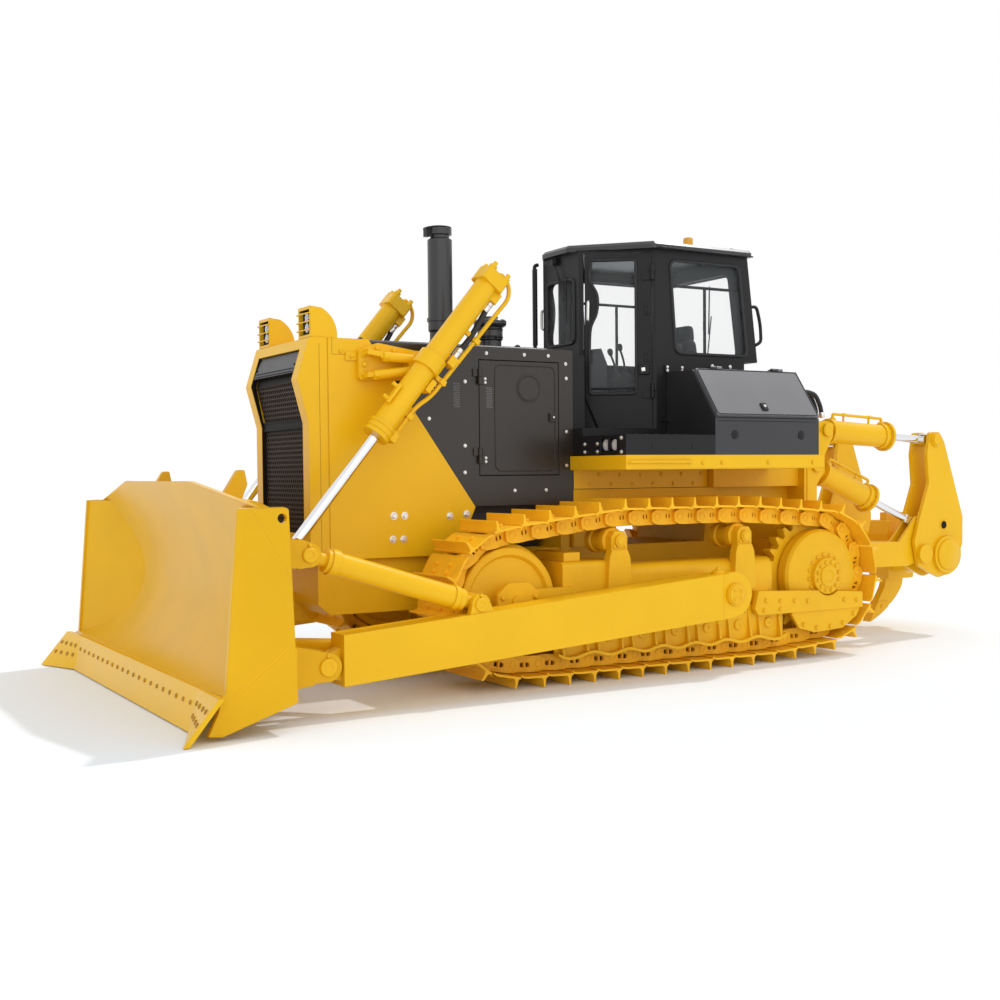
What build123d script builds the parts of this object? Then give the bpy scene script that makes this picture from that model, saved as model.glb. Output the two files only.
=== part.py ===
# Crawler bulldozer with a wide blade and a single-shank ripper, all sizes in millimetres.
# Stations: X runs forward from the sprocket axle, Y to the left, Z up from the ground.
from math import atan2, cos, hypot, pi, radians, sin
import os

from build123d import *

os.makedirs("parts", exist_ok=True)

# Clearances that every fit below is made from
SEAT_GAP = 0.3
PIN_GAP = 0.5
ROD_GAP = 1.0
DOOR_GAP = 7.0

# Whole machine
FRONT_REACH = 5917.0
REAR_REACH = -2420.0
ORIGIN_X = (FRONT_REACH + REAR_REACH) / 2

# Crawler tracks
TRACK_Y = 1070.0
SHOE_WIDTH = 560.0
SHOE_COUNT = 41
PIN_HEIGHT = 160.0
RAIL_HALF = 65.0
RAIL_INNER_Y = 70.0
RAIL_OUTER_Y = 130.0
SHOE_TOP = 85.0
SHOE_JOINT = 74.0
WINDOW_DEPTH = 12.0
SPROCKET_Z = 703.0
SPROCKET_PITCH_R = 491.0
SPROCKET_TEETH = 27
IDLER_X = 3150.0
IDLER_Z = 655.0
IDLER_TREAD_R = 407.0
IDLER_PIN_R = 488.6
ROLLER_R = 110.0
ROLLER_Z = PIN_HEIGHT + RAIL_HALF + 115.0
ROLLER_FIRST_X = 640.0
ROLLER_LAST_X = 2620.0
ROLLER_COUNT = 7
CARRIER_R = 103.6
CARRIER_Z = 1080.0
CARRIER_XS = (905.0, 2185.0)
CARRIER_PIN_Z = 1255.0
FRAME_HALF_Y = 165.0
FRAME_BOTTOM = 470.0
FRAME_TOP = 890.0

# Blade, push arms and braces
TRUNNION_X = 1316.0
TRUNNION_Z = 640.0
TRUNNION_R = 88.0
ARM_Y = (TRACK_Y + 350.0, TRACK_Y + 570.0)
BLADE_HALF = 1974.0
BLADE_WALL = 40.0
EDGE_HALF = BLADE_HALF - 374.0
END_BIT_HALF = BLADE_HALF + 91.0
WING_ANGLE = 23.0
BRACE_Y = (ARM_Y[0] + ARM_Y[1]) / 2
BRACE_R = 80.0
BRACE_FOOT = (3630.0, 694.0)
BRACE_HEAD = (4919.0, 1095.0)
BRACE_PIN_R = 40.0
ARM_PIN = (4800.0, 345.0)
ARM_PIN_R = 50.0
LUG_INNER = 50.0
LUG_OUTER = 100.0
TONGUE_HALF = 47.0

# Lift cylinders
LIFT_Y = 840.0
LIFT_RING = (3619.0, 2454.0)
LIFT_EYE = (4774.0, 1057.5)
LIFT_BARREL_R = 90.0
LIFT_ROD_R = 41.0
LIFT_BARREL_UP = 838.0
LIFT_BARREL_DOWN = 714.0
LIFT_ROD_LENGTH = 1600.0
LIFT_EYE_HALF = 42.0
LIFT_PIN_R = 45.0

# Nose, hood and engine
BODY_HALF = 559.0
PANEL = 36.0
HOOD_TOP = 2645.0
HOOD_REAR = 2132.0
ENGINE_DOOR_X = (2270.0, 3030.0)
ENGINE_DOOR_Z = (1600.0, 2530.0)

# Platform and cab
DECK_Z = 1755.0
STEP_Z = 1917.0
FENDER_X = (61.0, 2163.0)
FENDER_Y = TRACK_Y + SHOE_WIDTH / 2
CAB_FLOOR = 1985.0
CAB_TOP = 3510.0
CAB_WALL = 60.0
CAB_FRONT = (1880.0, 285.0)
CAB_CORNER = (1372.0, 702.0)
CAB_REAR_TOP = 364.0
CAB_REAR_SILL = (247.0, CAB_TOP - 924.0)
CAB_REAR_LOW = 400.0
ROOF_THICK = 60.0
BOX_X = (129.0, 1267.0)
BOX_TOP = 2470.0
BOX_EDGE_Y = 1050.0
BOX_SIDE_Z = 2055.0
LID_THICK = 30.0
HINGE_R = 18.0
HINGE_PIN_R = 9.0
KNUCKLE = 60.0
DOOR_HINGE_ZS = (CAB_FLOOR + 265.0, CAB_TOP - 260.0)
PANEL_HINGE_ZS = (1700.0, 2330.0)
PANEL_HINGE_X = 3030.0

# Ripper
RIPPER_Y = 610.0
RIPPER_ARM_FRONT = (-600.0, 809.0)
RIPPER_ARM_REAR = (-1860.0, 795.0)
RIPPER_TOP_FRONT = (-571.0, 1992.0)
RIPPER_TOP_REAR = (-2020.0, 1910.0)
RIPPER_LIFT_FRONT = (-440.0, 1663.0)
RIPPER_LIFT_REAR = (-1840.0, 1092.0)
RIPPER_BARREL_R = 108.0
RIPPER_ROD_R = 37.0
RIPPER_PIN_R = 46.0
RIPPER_EYE_R = 82.0
EYE_HALF = 70.0
CHEEK_IN = 80.0
CHEEK_OUT = 118.0


def block(x, y, z, mode=Mode.ADD):
    # A box between low and high stations on each axis.
    size = (x[1] - x[0], y[1] - y[0], z[1] - z[0])
    with Locations(((x[0] + x[1]) / 2, (y[0] + y[1]) / 2, (z[0] + z[1]) / 2)):
        Box(*size, mode=mode)


def outline(plane, points, radius=0.0):
    # A closed flat shape with straight edges, its corners rounded if a radius is given.
    with BuildSketch(plane, mode=Mode.PRIVATE) as shape:
        with BuildLine():
            Polyline(*points, close=True)
        make_face()
        if radius:
            fillet(shape.vertices(), radius)
    return shape.sketch


def slab(points, y_low, y_high, mode=Mode.ADD, radius=0.0):
    # A side-view outline (X, Z) given thickness between two Y stations.
    extrude(outline(Plane.XZ.offset(-y_high), points, radius), amount=y_high - y_low, mode=mode)


def sheet(points, x_low, x_high, mode=Mode.ADD, radius=0.0):
    # A front-view outline (Y, Z) given thickness between two X stations.
    extrude(outline(Plane.YZ.offset(x_low), points, radius), amount=x_high - x_low, mode=mode)


def disc(x, z, radius, y_low, y_high, mode=Mode.ADD):
    # A round bar along Y.
    with Locations(Plane(origin=(x, (y_low + y_high) / 2, z), z_dir=(0, 1, 0))):
        Cylinder(radius, y_high - y_low, mode=mode)


def turned(x, z, section, mode=Mode.ADD):
    # A round piece about an axle along Y, from its half section of (radius, Y) points.
    with BuildSketch(Plane(origin=(x, 0, z), x_dir=(1, 0, 0), z_dir=(0, 0, 1)), mode=Mode.PRIVATE) as half:
        with BuildLine():
            Polyline(*section, close=True)
        make_face()
    revolve(half.sketch, Axis((x, 0, z), (0, 1, 0)), mode=mode)


def spun(x, y, section, mode=Mode.ADD):
    # A round piece about an upright line, from its half section of (radius, Z) points.
    with BuildSketch(Plane(origin=(x, y, 0), x_dir=(1, 0, 0), z_dir=(0, -1, 0)), mode=Mode.PRIVATE) as half:
        with BuildLine():
            Polyline(*section, close=True)
        make_face()
    revolve(half.sketch, Axis((x, y, 0), (0, 0, 1)), mode=mode)


def both_ends(half_section, middle):
    # A half section that is the same on both sides of a middle Y station.
    outer = [(r, middle + y) for r, y in half_section]
    return outer + [(r, middle - y) for r, y in reversed(half_section)]


def bar(start, end, radius, mode=Mode.ADD):
    # A round bar between two points.
    run = Vector(*end) - Vector(*start)
    middle = (Vector(*start) + Vector(*end)) * 0.5
    with Locations(Plane(origin=middle, z_dir=run.normalized())):
        Cylinder(radius, run.length, mode=mode)


def rounded_lug(pin, radius, root, y_low, y_high):
    # A plate that runs from two or more root points to a round end about its pin.
    middle = (sum(p[0] for p in root) / len(root), sum(p[1] for p in root) / len(root))
    run = hypot(middle[0] - pin[0], middle[1] - pin[1])
    across = ((pin[1] - middle[1]) / run * radius, (middle[0] - pin[0]) / run * radius)
    sides = [(pin[0] + across[0], pin[1] + across[1]), (pin[0] - across[0], pin[1] - across[1])]
    sides.sort(key=lambda p: hypot(p[0] - root[-1][0], p[1] - root[-1][1]))
    slab((*root, *sides), y_low, y_high)
    disc(*pin, radius, y_low, y_high)


def knuckle(x, y, z):
    # The half of a hinge that turns, with a bore for the pin.
    bar((x, y, z), (x, y, z + KNUCKLE), HINGE_R)


def knuckle_bore(x, y, z):
    bar((x, y, z - 1), (x, y, z + KNUCKLE + 1), HINGE_PIN_R + PIN_GAP, mode=Mode.SUBTRACT)


def hinge_post(x, y, z):
    # The half of a hinge that stays, with its pin reaching down into the other half.
    bar((x, y, z + KNUCKLE + 2), (x, y, z + 2 * KNUCKLE + 2), HINGE_R)
    bar((x, y, z + 2), (x, y, z + KNUCKLE + 3), HINGE_PIN_R)


def along(start, end, distance):
    # The point a distance from start on the way to end, in side view.
    span = hypot(end[0] - start[0], end[1] - start[1])
    return (
        start[0] + (end[0] - start[0]) * distance / span,
        start[1] + (end[1] - start[1]) * distance / span,
    )


def at_y(point, y):
    # A side-view point placed at a Y station.
    return (point[0], y, point[1])


# Pin line of the track: the tight loop round sprocket, carrier rollers, idler and track rollers
def tight_loop():
    cloud = [(x, CARRIER_PIN_Z) for x in CARRIER_XS]
    cloud += [(ROLLER_FIRST_X, PIN_HEIGHT), (ROLLER_LAST_X, PIN_HEIGHT)]
    for x, z, radius in ((0.0, SPROCKET_Z, SPROCKET_PITCH_R), (IDLER_X, IDLER_Z, IDLER_PIN_R)):
        cloud += [(x + radius * cos(i * pi / 360), z + radius * sin(i * pi / 360)) for i in range(720)]
    cloud = sorted(set(cloud))

    def half(points):
        chain = []
        for p in points:
            while len(chain) > 1 and (
                (chain[-1][0] - chain[-2][0]) * (p[1] - chain[-2][1])
                <= (chain[-1][1] - chain[-2][1]) * (p[0] - chain[-2][0])
            ):
                chain.pop()
            chain.append(p)
        return chain[:-1]

    return half(cloud) + half(cloud[::-1])


def chain_pins():
    loop = tight_loop()
    loop.append(loop[0])
    spans = [hypot(b[0] - a[0], b[1] - a[1]) for a, b in zip(loop, loop[1:])]
    step = sum(spans) / SHOE_COUNT
    pins = []
    reached = 0.0
    for a, b, span in zip(loop, loop[1:], spans):
        while len(pins) < SHOE_COUNT and len(pins) * step <= reached + span:
            part = (len(pins) * step - reached) / span
            pins.append((a[0] + (b[0] - a[0]) * part, a[1] + (b[1] - a[1]) * part))
        reached += span
    return pins


PINS = chain_pins()


def link_frame(i):
    # Start pin, direction along the link, outward normal and length of link i.
    p = PINS[i % SHOE_COUNT]
    q = PINS[(i + 1) % SHOE_COUNT]
    length = hypot(q[0] - p[0], q[1] - p[1])
    t = ((q[0] - p[0]) / length, (q[1] - p[1]) / length)
    return p, t, (t[1], -t[0]), length


def offset_pin(i, distance):
    # Pin i moved outward so that both neighbouring links are that far away.
    _, _, before, _ = link_frame(i - 1)
    p, _, after, _ = link_frame(i)
    total = (before[0] + after[0], before[1] + after[1])
    share = 2 * distance / (total[0] ** 2 + total[1] ** 2)
    return (p[0] + total[0] * share, p[1] + total[1] * share)


def shoe_outline():
    points = []
    for i in range(SHOE_COUNT):
        p, t, n, length = link_frame(i)
        points.append(offset_pin(i, SHOE_JOINT))
        profile = ((5, SHOE_TOP), (18, SHOE_TOP), (26, PIN_HEIGHT), (44, PIN_HEIGHT), (62, SHOE_TOP))
        for a, b in profile + ((length - 5, SHOE_TOP),):
            points.append((p[0] + t[0] * a + n[0] * b, p[1] + t[1] * a + n[1] * b))
    return points


def rail_outline():
    # The outer edge of the link rail, cut away under the middle of each shoe.
    points = []
    for i in range(SHOE_COUNT):
        p, t, n, length = link_frame(i)
        points.append(offset_pin(i, RAIL_HALF + 5))
        rail = RAIL_HALF + 5
        for share, b in ((0.30, rail), (0.36, WINDOW_DEPTH), (0.64, WINDOW_DEPTH), (0.70, rail)):
            a = share * length
            points.append((p[0] + t[0] * a + n[0] * b, p[1] + t[1] * a + n[1] * b))
    return points


def ring(points_out, points_in, y_low, y_high):
    # A closed band between two loops, given thickness along Y.
    with BuildSketch(Plane.XZ.offset(-y_high), mode=Mode.PRIVATE) as band:
        with BuildLine():
            Polyline(*points_out, close=True)
        make_face()
        with BuildLine():
            Polyline(*points_in, close=True)
        make_face(mode=Mode.SUBTRACT)
    extrude(band.sketch, amount=y_high - y_low)


# Left track: one loop of shoes on two rails of links
with BuildPart() as track_left:
    inner = [offset_pin(i, RAIL_HALF) for i in range(SHOE_COUNT)]
    ring(shoe_outline(), inner, TRACK_Y - SHOE_WIDTH / 2, TRACK_Y + SHOE_WIDTH / 2)
    rail_in = [offset_pin(i, -RAIL_HALF) for i in range(SHOE_COUNT)]
    for side in (-1, 1):
        low = TRACK_Y + min(side * RAIL_INNER_Y, side * RAIL_OUTER_Y)
        ring(rail_outline(), rail_in, low, low + RAIL_OUTER_Y - RAIL_INNER_Y)

with BuildPart() as track_right:
    mirror(track_left.part, about=Plane.XZ)


# Sprockets: toothed rings that pass between the two rails
with BuildPart() as sprockets:
    near = min(PINS, key=lambda p: abs(atan2(p[1] - SPROCKET_Z, -p[0])))
    start = atan2(near[1] - SPROCKET_Z, near[0])
    tooth = []
    for i in range(SPROCKET_TEETH):
        for share, radius in ((-0.17, 456.0), (0.17, 456.0), (0.40, 524.0), (0.60, 524.0)):
            turn = start + 2 * pi * (i + share) / SPROCKET_TEETH
            tooth.append((radius * cos(turn), SPROCKET_Z + radius * sin(turn)))
    slab(tooth, TRACK_Y - 48, TRACK_Y + 48)
    disc(0, SPROCKET_Z, 381.0, TRACK_Y - 60, TRACK_Y + 60, mode=Mode.SUBTRACT)
    mirror(about=Plane.XZ)

# Final drives: round gear cases that carry the sprockets, with a domed cover and a bolted hub
CASE_R = 403.0
CASE_OUT_Y = TRACK_Y + 192.0
HUB_R = 158.0
HUB_OUT_Y = TRACK_Y + 265.0
case_section = [(0, 500 + SEAT_GAP), (290, 500 + SEAT_GAP)]
case_section += [(290, TRACK_Y - 165), (CASE_R - 23, TRACK_Y - 165)]
case_section += [(CASE_R - 23, TRACK_Y + 70), (CASE_R, TRACK_Y + 70)]
case_section += [(CASE_R, CASE_OUT_Y - 40), (CASE_R - 18, CASE_OUT_Y - 12), (CASE_R - 60, CASE_OUT_Y)]
case_section += [(HUB_R + 60, CASE_OUT_Y + 26), (HUB_R, CASE_OUT_Y + 26), (HUB_R, HUB_OUT_Y - 8)]
case_section += [(HUB_R - 10, HUB_OUT_Y), (0, HUB_OUT_Y)]
with BuildPart() as final_drives:
    turned(0, SPROCKET_Z, case_section)
    mirror(about=Plane.XZ)

# Idlers: front guide wheels with a raised centre flange between the rails and a dished web
FORK_IN_Y = 175.0
IDLER_FLANGE_R = 440.0
IDLER_HUB_R = 120.0
idler_half = [(0, FORK_IN_Y - SEAT_GAP), (IDLER_HUB_R, FORK_IN_Y - SEAT_GAP), (IDLER_HUB_R, 132), (330, 112)]
idler_half += [(352, 138), (IDLER_TREAD_R - 8, 138), (IDLER_TREAD_R, 130), (IDLER_TREAD_R, 62)]
idler_half += [(IDLER_FLANGE_R - 10, 55), (IDLER_FLANGE_R, 45)]
with BuildPart() as idlers:
    turned(IDLER_X, IDLER_Z, both_ends(idler_half, TRACK_Y))
    mirror(about=Plane.XZ)

# Track rollers under each track frame, with two flanges and a shaft seated in the guards
ROLLER_STEP = (ROLLER_LAST_X - ROLLER_FIRST_X) / (ROLLER_COUNT - 1)
GUARD_IN_Y = 178.0
ROLLER_SHAFT_R = 45.0
roller_half = [(0, GUARD_IN_Y - SEAT_GAP), (ROLLER_SHAFT_R, GUARD_IN_Y - SEAT_GAP), (ROLLER_SHAFT_R, 156)]
roller_half += [(127, 156), (127, 136), (ROLLER_R, 136), (ROLLER_R, 60), (ROLLER_R - 12, 50)]
with BuildPart() as track_rollers:
    for i in range(ROLLER_COUNT):
        turned(ROLLER_FIRST_X + i * ROLLER_STEP, ROLLER_Z, both_ends(roller_half, TRACK_Y))
    mirror(about=Plane.XZ)

# Carrier rollers that hold up the return run
CARRIER_END_Y = 139.7
carrier_half = [(0, CARRIER_END_Y), (70, CARRIER_END_Y)]
carrier_half += [(CARRIER_R - 8, 134), (CARRIER_R, 126), (CARRIER_R, 62)]
carrier_half += [(CARRIER_R - 16, 54)]
with BuildPart() as carrier_rollers:
    for x in CARRIER_XS:
        turned(x, CARRIER_Z, both_ends(carrier_half, TRACK_Y))
    mirror(about=Plane.XZ)

# Left track frame: rounded beam, recoil housing, idler fork, carrier posts, roller guards and trunnion
HOUSING_TOP = 932.0
GUARD_OUT_Y = 205.0
GUARD_LOW = 205.0
GUARD_TOP = 505.0
GUARD_WAVE = 16.0
RIB_OUT_Y = 258.0
LEG_Y = (CASE_OUT_Y + 36.0, CASE_OUT_Y + 78.0)
FORK_OUT_Y = 240.0


def guard_edge(lift):
    # The wavy lower edge of the roller guard: low under each roller, high between two.
    points = []
    for i in range(2 * ROLLER_COUNT + 1):
        x = ROLLER_FIRST_X + (i / 2 - 0.5) * ROLLER_STEP
        points.append((x, GUARD_LOW + lift + (GUARD_WAVE if i % 2 == 0 else -GUARD_WAVE)))
    return points


def guard_outline(low, high):
    # A band above the wavy edge, closed by a straight or a second wavy edge.
    with BuildSketch(Plane.XZ, mode=Mode.PRIVATE) as band:
        with BuildLine():
            Spline(*low)
            if len(high) == 2:
                Polyline(low[-1], *reversed(high))
            else:
                Spline(*reversed(high))
            Line(high[0], low[0])
            if len(high) > 2:
                Line(low[-1], high[-1])
        make_face()
    return band.sketch


with BuildPart() as track_frame_left:
    def across(low, high):
        # Y stations on the left track from distances off its middle.
        return (TRACK_Y + low, TRACK_Y + high)

    first_x = ROLLER_FIRST_X - ROLLER_STEP / 2
    last_x = ROLLER_LAST_X + ROLLER_STEP / 2
    tube = ((TRACK_Y - FRAME_HALF_Y, 500), (TRACK_Y + FRAME_HALF_Y, 500))
    tube += ((TRACK_Y + FRAME_HALF_Y, FRAME_TOP), (TRACK_Y - FRAME_HALF_Y, FRAME_TOP))
    sheet(tube, 560, 2300, radius=85)
    inside, outside = TRACK_Y - 178, TRACK_Y + 178
    housing = ((inside, 560), (outside, 560), (outside, HOUSING_TOP), (inside, HOUSING_TOP))
    sheet(housing, 2230, 2695, radius=45)
    block((560, 2660), across(-GUARD_OUT_Y, GUARD_OUT_Y), (FRAME_BOTTOM, GUARD_TOP))
    wave = guard_edge(0)
    for low in (-GUARD_OUT_Y, GUARD_IN_Y):
        plate = guard_outline(wave, [(first_x, GUARD_TOP), (last_x, GUARD_TOP)])
        thick = GUARD_OUT_Y - GUARD_IN_Y
        extrude(plate.moved(Location((0, TRACK_Y + low + thick, 0))), amount=thick)
    lip = guard_outline(wave, guard_edge(24))
    extrude(lip.moved(Location((0, TRACK_Y + RIB_OUT_Y, 0))), amount=RIB_OUT_Y - GUARD_OUT_Y)
    for i in range(ROLLER_COUNT + 1):
        middle = ROLLER_FIRST_X + (i - 0.5) * ROLLER_STEP
        for x in (middle - 62, middle + 42):
            if not first_x < x < last_x:
                continue
            rib = (across(GUARD_OUT_Y - 1, RIB_OUT_Y - 6), (GUARD_LOW + 12, GUARD_TOP - 20))
            sheet(((rib[0][0], rib[1][0]), (rib[0][1], rib[1][0]), (rib[0][0], rib[1][1])), x, x + 20)
    for side in (-1, 1):
        fork = sorted((TRACK_Y + side * FORK_IN_Y, TRACK_Y + side * FORK_OUT_Y))
        slab(((2560, 575), (3290, 575), (3290, 745), (2560, 745)), *fork, radius=60)
        block((2570, 2700), sorted((TRACK_Y + side * 150, TRACK_Y + side * (FORK_IN_Y + 5))), (580, 740))
    saddle = [(2960, 580), (3330, 580), (3330, 720), (3290, 760)]
    saddle += [(3240, 805), (3060, 805), (3010, 760), (2960, 720)]
    slab(saddle, *across(FORK_OUT_Y - 1, FORK_OUT_Y + 38), radius=14)
    disc(IDLER_X, IDLER_Z, 62.0, *across(FORK_OUT_Y + 30, FORK_OUT_Y + 62))
    for x in CARRIER_XS:
        post = ((x - 122, 640), (x + 118, 640), (x + 98, 950), (x + 74, 1012), (x - 74, 1012), (x - 100, 950))
        slab(post, *across(CARRIER_END_Y + 4, 222), radius=18)
        head = ((x - 76, 990), (x + 76, 990), (x + 76, 1112), (x + 44, 1158), (x - 44, 1158), (x - 76, 1112))
        slab(head, *across(CARRIER_END_Y + SEAT_GAP, 214), radius=12)
        disc(x, CARRIER_Z, 50.0, *across(210, 240))
    disc(TRUNNION_X, TRUNNION_Z, 150.0, TRACK_Y + 160, ARM_Y[0] - 6)
    disc(TRUNNION_X, TRUNNION_Z, TRUNNION_R, ARM_Y[0] - 10, ARM_Y[1] + 30)
    leg = ((-405, 410), (-405, 548), (120, 585), (800, 615), (840, 470), (800, 410))
    slab(leg, *LEG_Y, radius=12)
    skirt = ((430, 415), (330, 270), (150, 222), (-180, 240), (-350, 340), (-395, 415))
    slab(skirt, LEG_Y[0], LEG_Y[0] + 26, radius=20)
    disc(0, SPROCKET_Z, HUB_R + 12, LEG_Y[0] - 5, LEG_Y[1] + 5, mode=Mode.SUBTRACT)
    block((600, 790), (TRACK_Y + FRAME_HALF_Y - 5, LEG_Y[0] + 5), (480, 610))
    bar((700, 500.0, 640), (700, TRACK_Y - 160, 640), 120)

with BuildPart() as track_frame_right:
    mirror(track_frame_left.part, about=Plane.XZ)

# Main frame: the welded hull between the tracks
with BuildPart() as main_frame:
    hull = ((-300, 470), (3000, 470), (3500, 560), (4300, 560), (4400, 640), (4400, 979.7))
    hull += ((4180, 979.7), (4180, 1000), (700, 1000), (640, 1480), (-300, 1480))
    slab(hull, -500, 500)
    block((2150, 2240), (-522.7, 522.7), (900, 1359.7))
    block((2490, 2640), (-TRACK_Y - 110, TRACK_Y + 110), (HOUSING_TOP + SEAT_GAP, 1000))
    block((1700, HOOD_REAR - SEAT_GAP), (-560, 560), (1000, 1480))
    for side in (-1, 1):
        block((640, HOOD_REAR - SEAT_GAP), sorted((side * 480, side * 560)), (1380, 1480))
        block((3100, 3180), sorted((side * 480, side * 522.7)), (900, 1359))
    slab(((4300, 480), (4480, 480), (4520, 560), (4520, 650), (4390, 720), (4300, 720)), -35, 35)
    disc(4450, 580, 32.0, -60, 60, mode=Mode.SUBTRACT)
    block((-300, 700), (-640, 640), (1480, 1640))

# Engine: closed heavy mass
with BuildPart() as engine:
    block((2300, 3900), (-330, 330), (1000, 2380))
    chamfer(engine.edges().filter_by(Axis.X), 90)

# Nose: radiator guard with its sloped rear boundary
with BuildPart() as radiator_guard:
    side_view = ((4470, 2638), (4565, 2331), (4479, 2006), (4479, 980), (3240, 980))
    side_view += ((3069, 1354), (3986, HOOD_TOP), (4440, HOOD_TOP))
    slab(side_view, -BODY_HALF, BODY_HALF)
    hollow = ((4380, 2609), (4399, 2560), (4479, 2331), (4399, 2006), (4399, 900), (2900, 900), (2900, 2609))
    slab(hollow, -BODY_HALF + PANEL, BODY_HALF - PANEL, mode=Mode.SUBTRACT)
    sheet(((-440, 1180), (440, 1180), (440, 2560), (-440, 2560)), 4300, 4600, mode=Mode.SUBTRACT)
    for side in (1, -1):
        seam_y = sorted((side * (BODY_HALF - 6), side * (BODY_HALF + 1)))
        block((4318, 4326), seam_y, (985, 2640), mode=Mode.SUBTRACT)

# Grille and blank header panel filling the mouth of the nose
with BuildPart() as grille:
    face = ((4441, 2559), (4516, 2331), (4440, 2006), (4440, 1180.3), (4410, 1180.3), (4410, 2006))
    face += ((4486, 2331), (4410, 2559))
    slab(face, -439.7, 439.7)
    slab(((4436, 2550), (4464, 2555), (4535, 2380), (4500, 2380)), -425, 425)
    block((4430, 4462), (-439.7, 439.7), (1975, 2035))

# Hood: black top and side panels with the engine door openings
with BuildPart() as hood:
    side_view = ((HOOD_REAR, 1360), (3072.6, 1360), (3985.5, HOOD_TOP), (HOOD_REAR, HOOD_TOP))
    slab(side_view, -BODY_HALF, BODY_HALF)
    slab(((2100, 1300), (4066, 1300), (4066, 2609), (2100, 2609)), -523, 523, mode=Mode.SUBTRACT)
    for side in (-1, 1):
        span = sorted((side * 500, side * 600))
        block(ENGINE_DOOR_X, span, ENGINE_DOOR_Z, mode=Mode.SUBTRACT)
    block((HOOD_REAR, HOOD_REAR + PANEL), (-524, 524), (1360, 2620))
    for side in (-1, 1):
        for z in PANEL_HINGE_ZS:
            hinge_post(PANEL_HINGE_X, side * (BODY_HALF + HINGE_R + 2), z)
            strap_z = (z + KNUCKLE + 2, z + 2 * KNUCKLE + 2)
            strap_y = sorted((side * BODY_HALF, side * (BODY_HALF + 14)))
            block((PANEL_HINGE_X, PANEL_HINGE_X + 55), strap_y, strap_z)
    long_top = hood.edges().filter_by(Axis.X).group_by(Axis.Z)[-1]
    fillet(long_top.sort_by(Axis.Y)[0], 30)
    fillet(hood.edges().filter_by(Axis.X).group_by(Axis.Z)[-1].sort_by(Axis.Y)[-1], 30)

# Left engine door, hinged at its front edge
with BuildPart() as engine_door_left:
    door_x = (ENGINE_DOOR_X[0] + DOOR_GAP, ENGINE_DOOR_X[1] - DOOR_GAP)
    door_z = (ENGINE_DOOR_Z[0] + DOOR_GAP, ENGINE_DOOR_Z[1] - DOOR_GAP)
    block(door_x, (BODY_HALF - PANEL, BODY_HALF), door_z)
    disc(2560, 2310, 115.0, BODY_HALF - 10, BODY_HALF + 6)
    block((2310, 2370), (BODY_HALF - 1, BODY_HALF + 18), (2040, 2110))
    for z in PANEL_HINGE_ZS:
        knuckle(PANEL_HINGE_X, BODY_HALF + HINGE_R + 2, z)
        block((PANEL_HINGE_X - 75, PANEL_HINGE_X), (BODY_HALF, BODY_HALF + 14), (z, z + KNUCKLE))
        knuckle_bore(PANEL_HINGE_X, BODY_HALF + HINGE_R + 2, z)

with BuildPart() as engine_door_right:
    mirror(engine_door_left.part, about=Plane.XZ)

# Exhaust stack and intake precleaner on the hood
STACK_TOP = 3653.0
with BuildPart() as exhaust_stack:
    stack = [(0, HOOD_TOP), (118, HOOD_TOP), (118, HOOD_TOP + 18), (90, HOOD_TOP + 30)]
    stack += [(90, 2790), (102, 2806), (102, 2880), (112, 2880), (112, 2908), (102, 2908)]
    stack += [(102, STACK_TOP - 100), (80, STACK_TOP - 88), (80, STACK_TOP - 64)]
    stack += [(100, STACK_TOP - 60), (100, STACK_TOP - 8), (92, STACK_TOP), (78, STACK_TOP)]
    stack += [(78, STACK_TOP - 90), (0, STACK_TOP - 90)]
    spun(3071, 0, stack)
with BuildPart() as air_precleaner:
    cleaner = [(0, HOOD_TOP), (96, HOOD_TOP), (96, 2740), (107, 2752), (107, 2852), (134, 2868), (140, 2880)]
    cleaner += [(140, 2906), (128, 2918), (72, 2928), (68, 2944), (0, 2946)]
    spun(2598, 0, cleaner)

# Headlamp housings on top of the nose: rounded behind, open in front, with a lamp inside
LAMP_Y = (310.0, 545.0)
with BuildPart() as headlamps:
    with BuildSketch(Plane.XZ.offset(-LAMP_Y[1])) as case:
        with BuildLine():
            Polyline((4235, 2660), (4235, HOOD_TOP), (4450, HOOD_TOP), (4450, 2876), (4360, 2866))
            ThreePointArc((4360, 2866), (4280, 2801), (4235, 2660))
        make_face()
    extrude(amount=LAMP_Y[1] - LAMP_Y[0])
    block((4370, 4460), (LAMP_Y[0] + 18, LAMP_Y[1] - 18), (HOOD_TOP + 22, 2852), mode=Mode.SUBTRACT)
    lamp = ((LAMP_Y[0] + 36, HOOD_TOP + 40), (LAMP_Y[1] - 36, HOOD_TOP + 40), (LAMP_Y[1] - 36, 2834))
    sheet(lamp + ((LAMP_Y[0] + 36, 2834),), 4360, 4418, radius=38)
    mirror(about=Plane.XZ)

# Lift cylinder yokes bolted to the sides of the nose, ribbed out to the trunnion bearing
COLLAR_R = 98.0
COLLAR_OUT_Y = LIFT_Y - 118.0
with BuildPart() as lift_yokes:
    plate = ((4090, 2330), (4090, 2560), (3930, 2616), (3600, 2566), (3520, 2500), (3530, 2380), (3700, 2340))
    slab(plate, BODY_HALF + SEAT_GAP, 612, radius=28)
    upper_rib = ((3600, 2500), (4060, 2560), (4060, 2520), (3640, 2460))
    lower_rib = ((3620, 2440), (4060, 2385), (4060, 2345), (3600, 2400))
    for rib in (upper_rib, lower_rib):
        slab(rib, 610, COLLAR_OUT_Y - 14)
    disc(*LIFT_RING, COLLAR_R, 605, COLLAR_OUT_Y)
    disc(*LIFT_RING, COLLAR_R + 14, 605, 640)
    disc(*LIFT_RING, LIFT_PIN_R + PIN_GAP, 655, COLLAR_OUT_Y + 20, mode=Mode.SUBTRACT)
    mirror(about=Plane.XZ)

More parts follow.
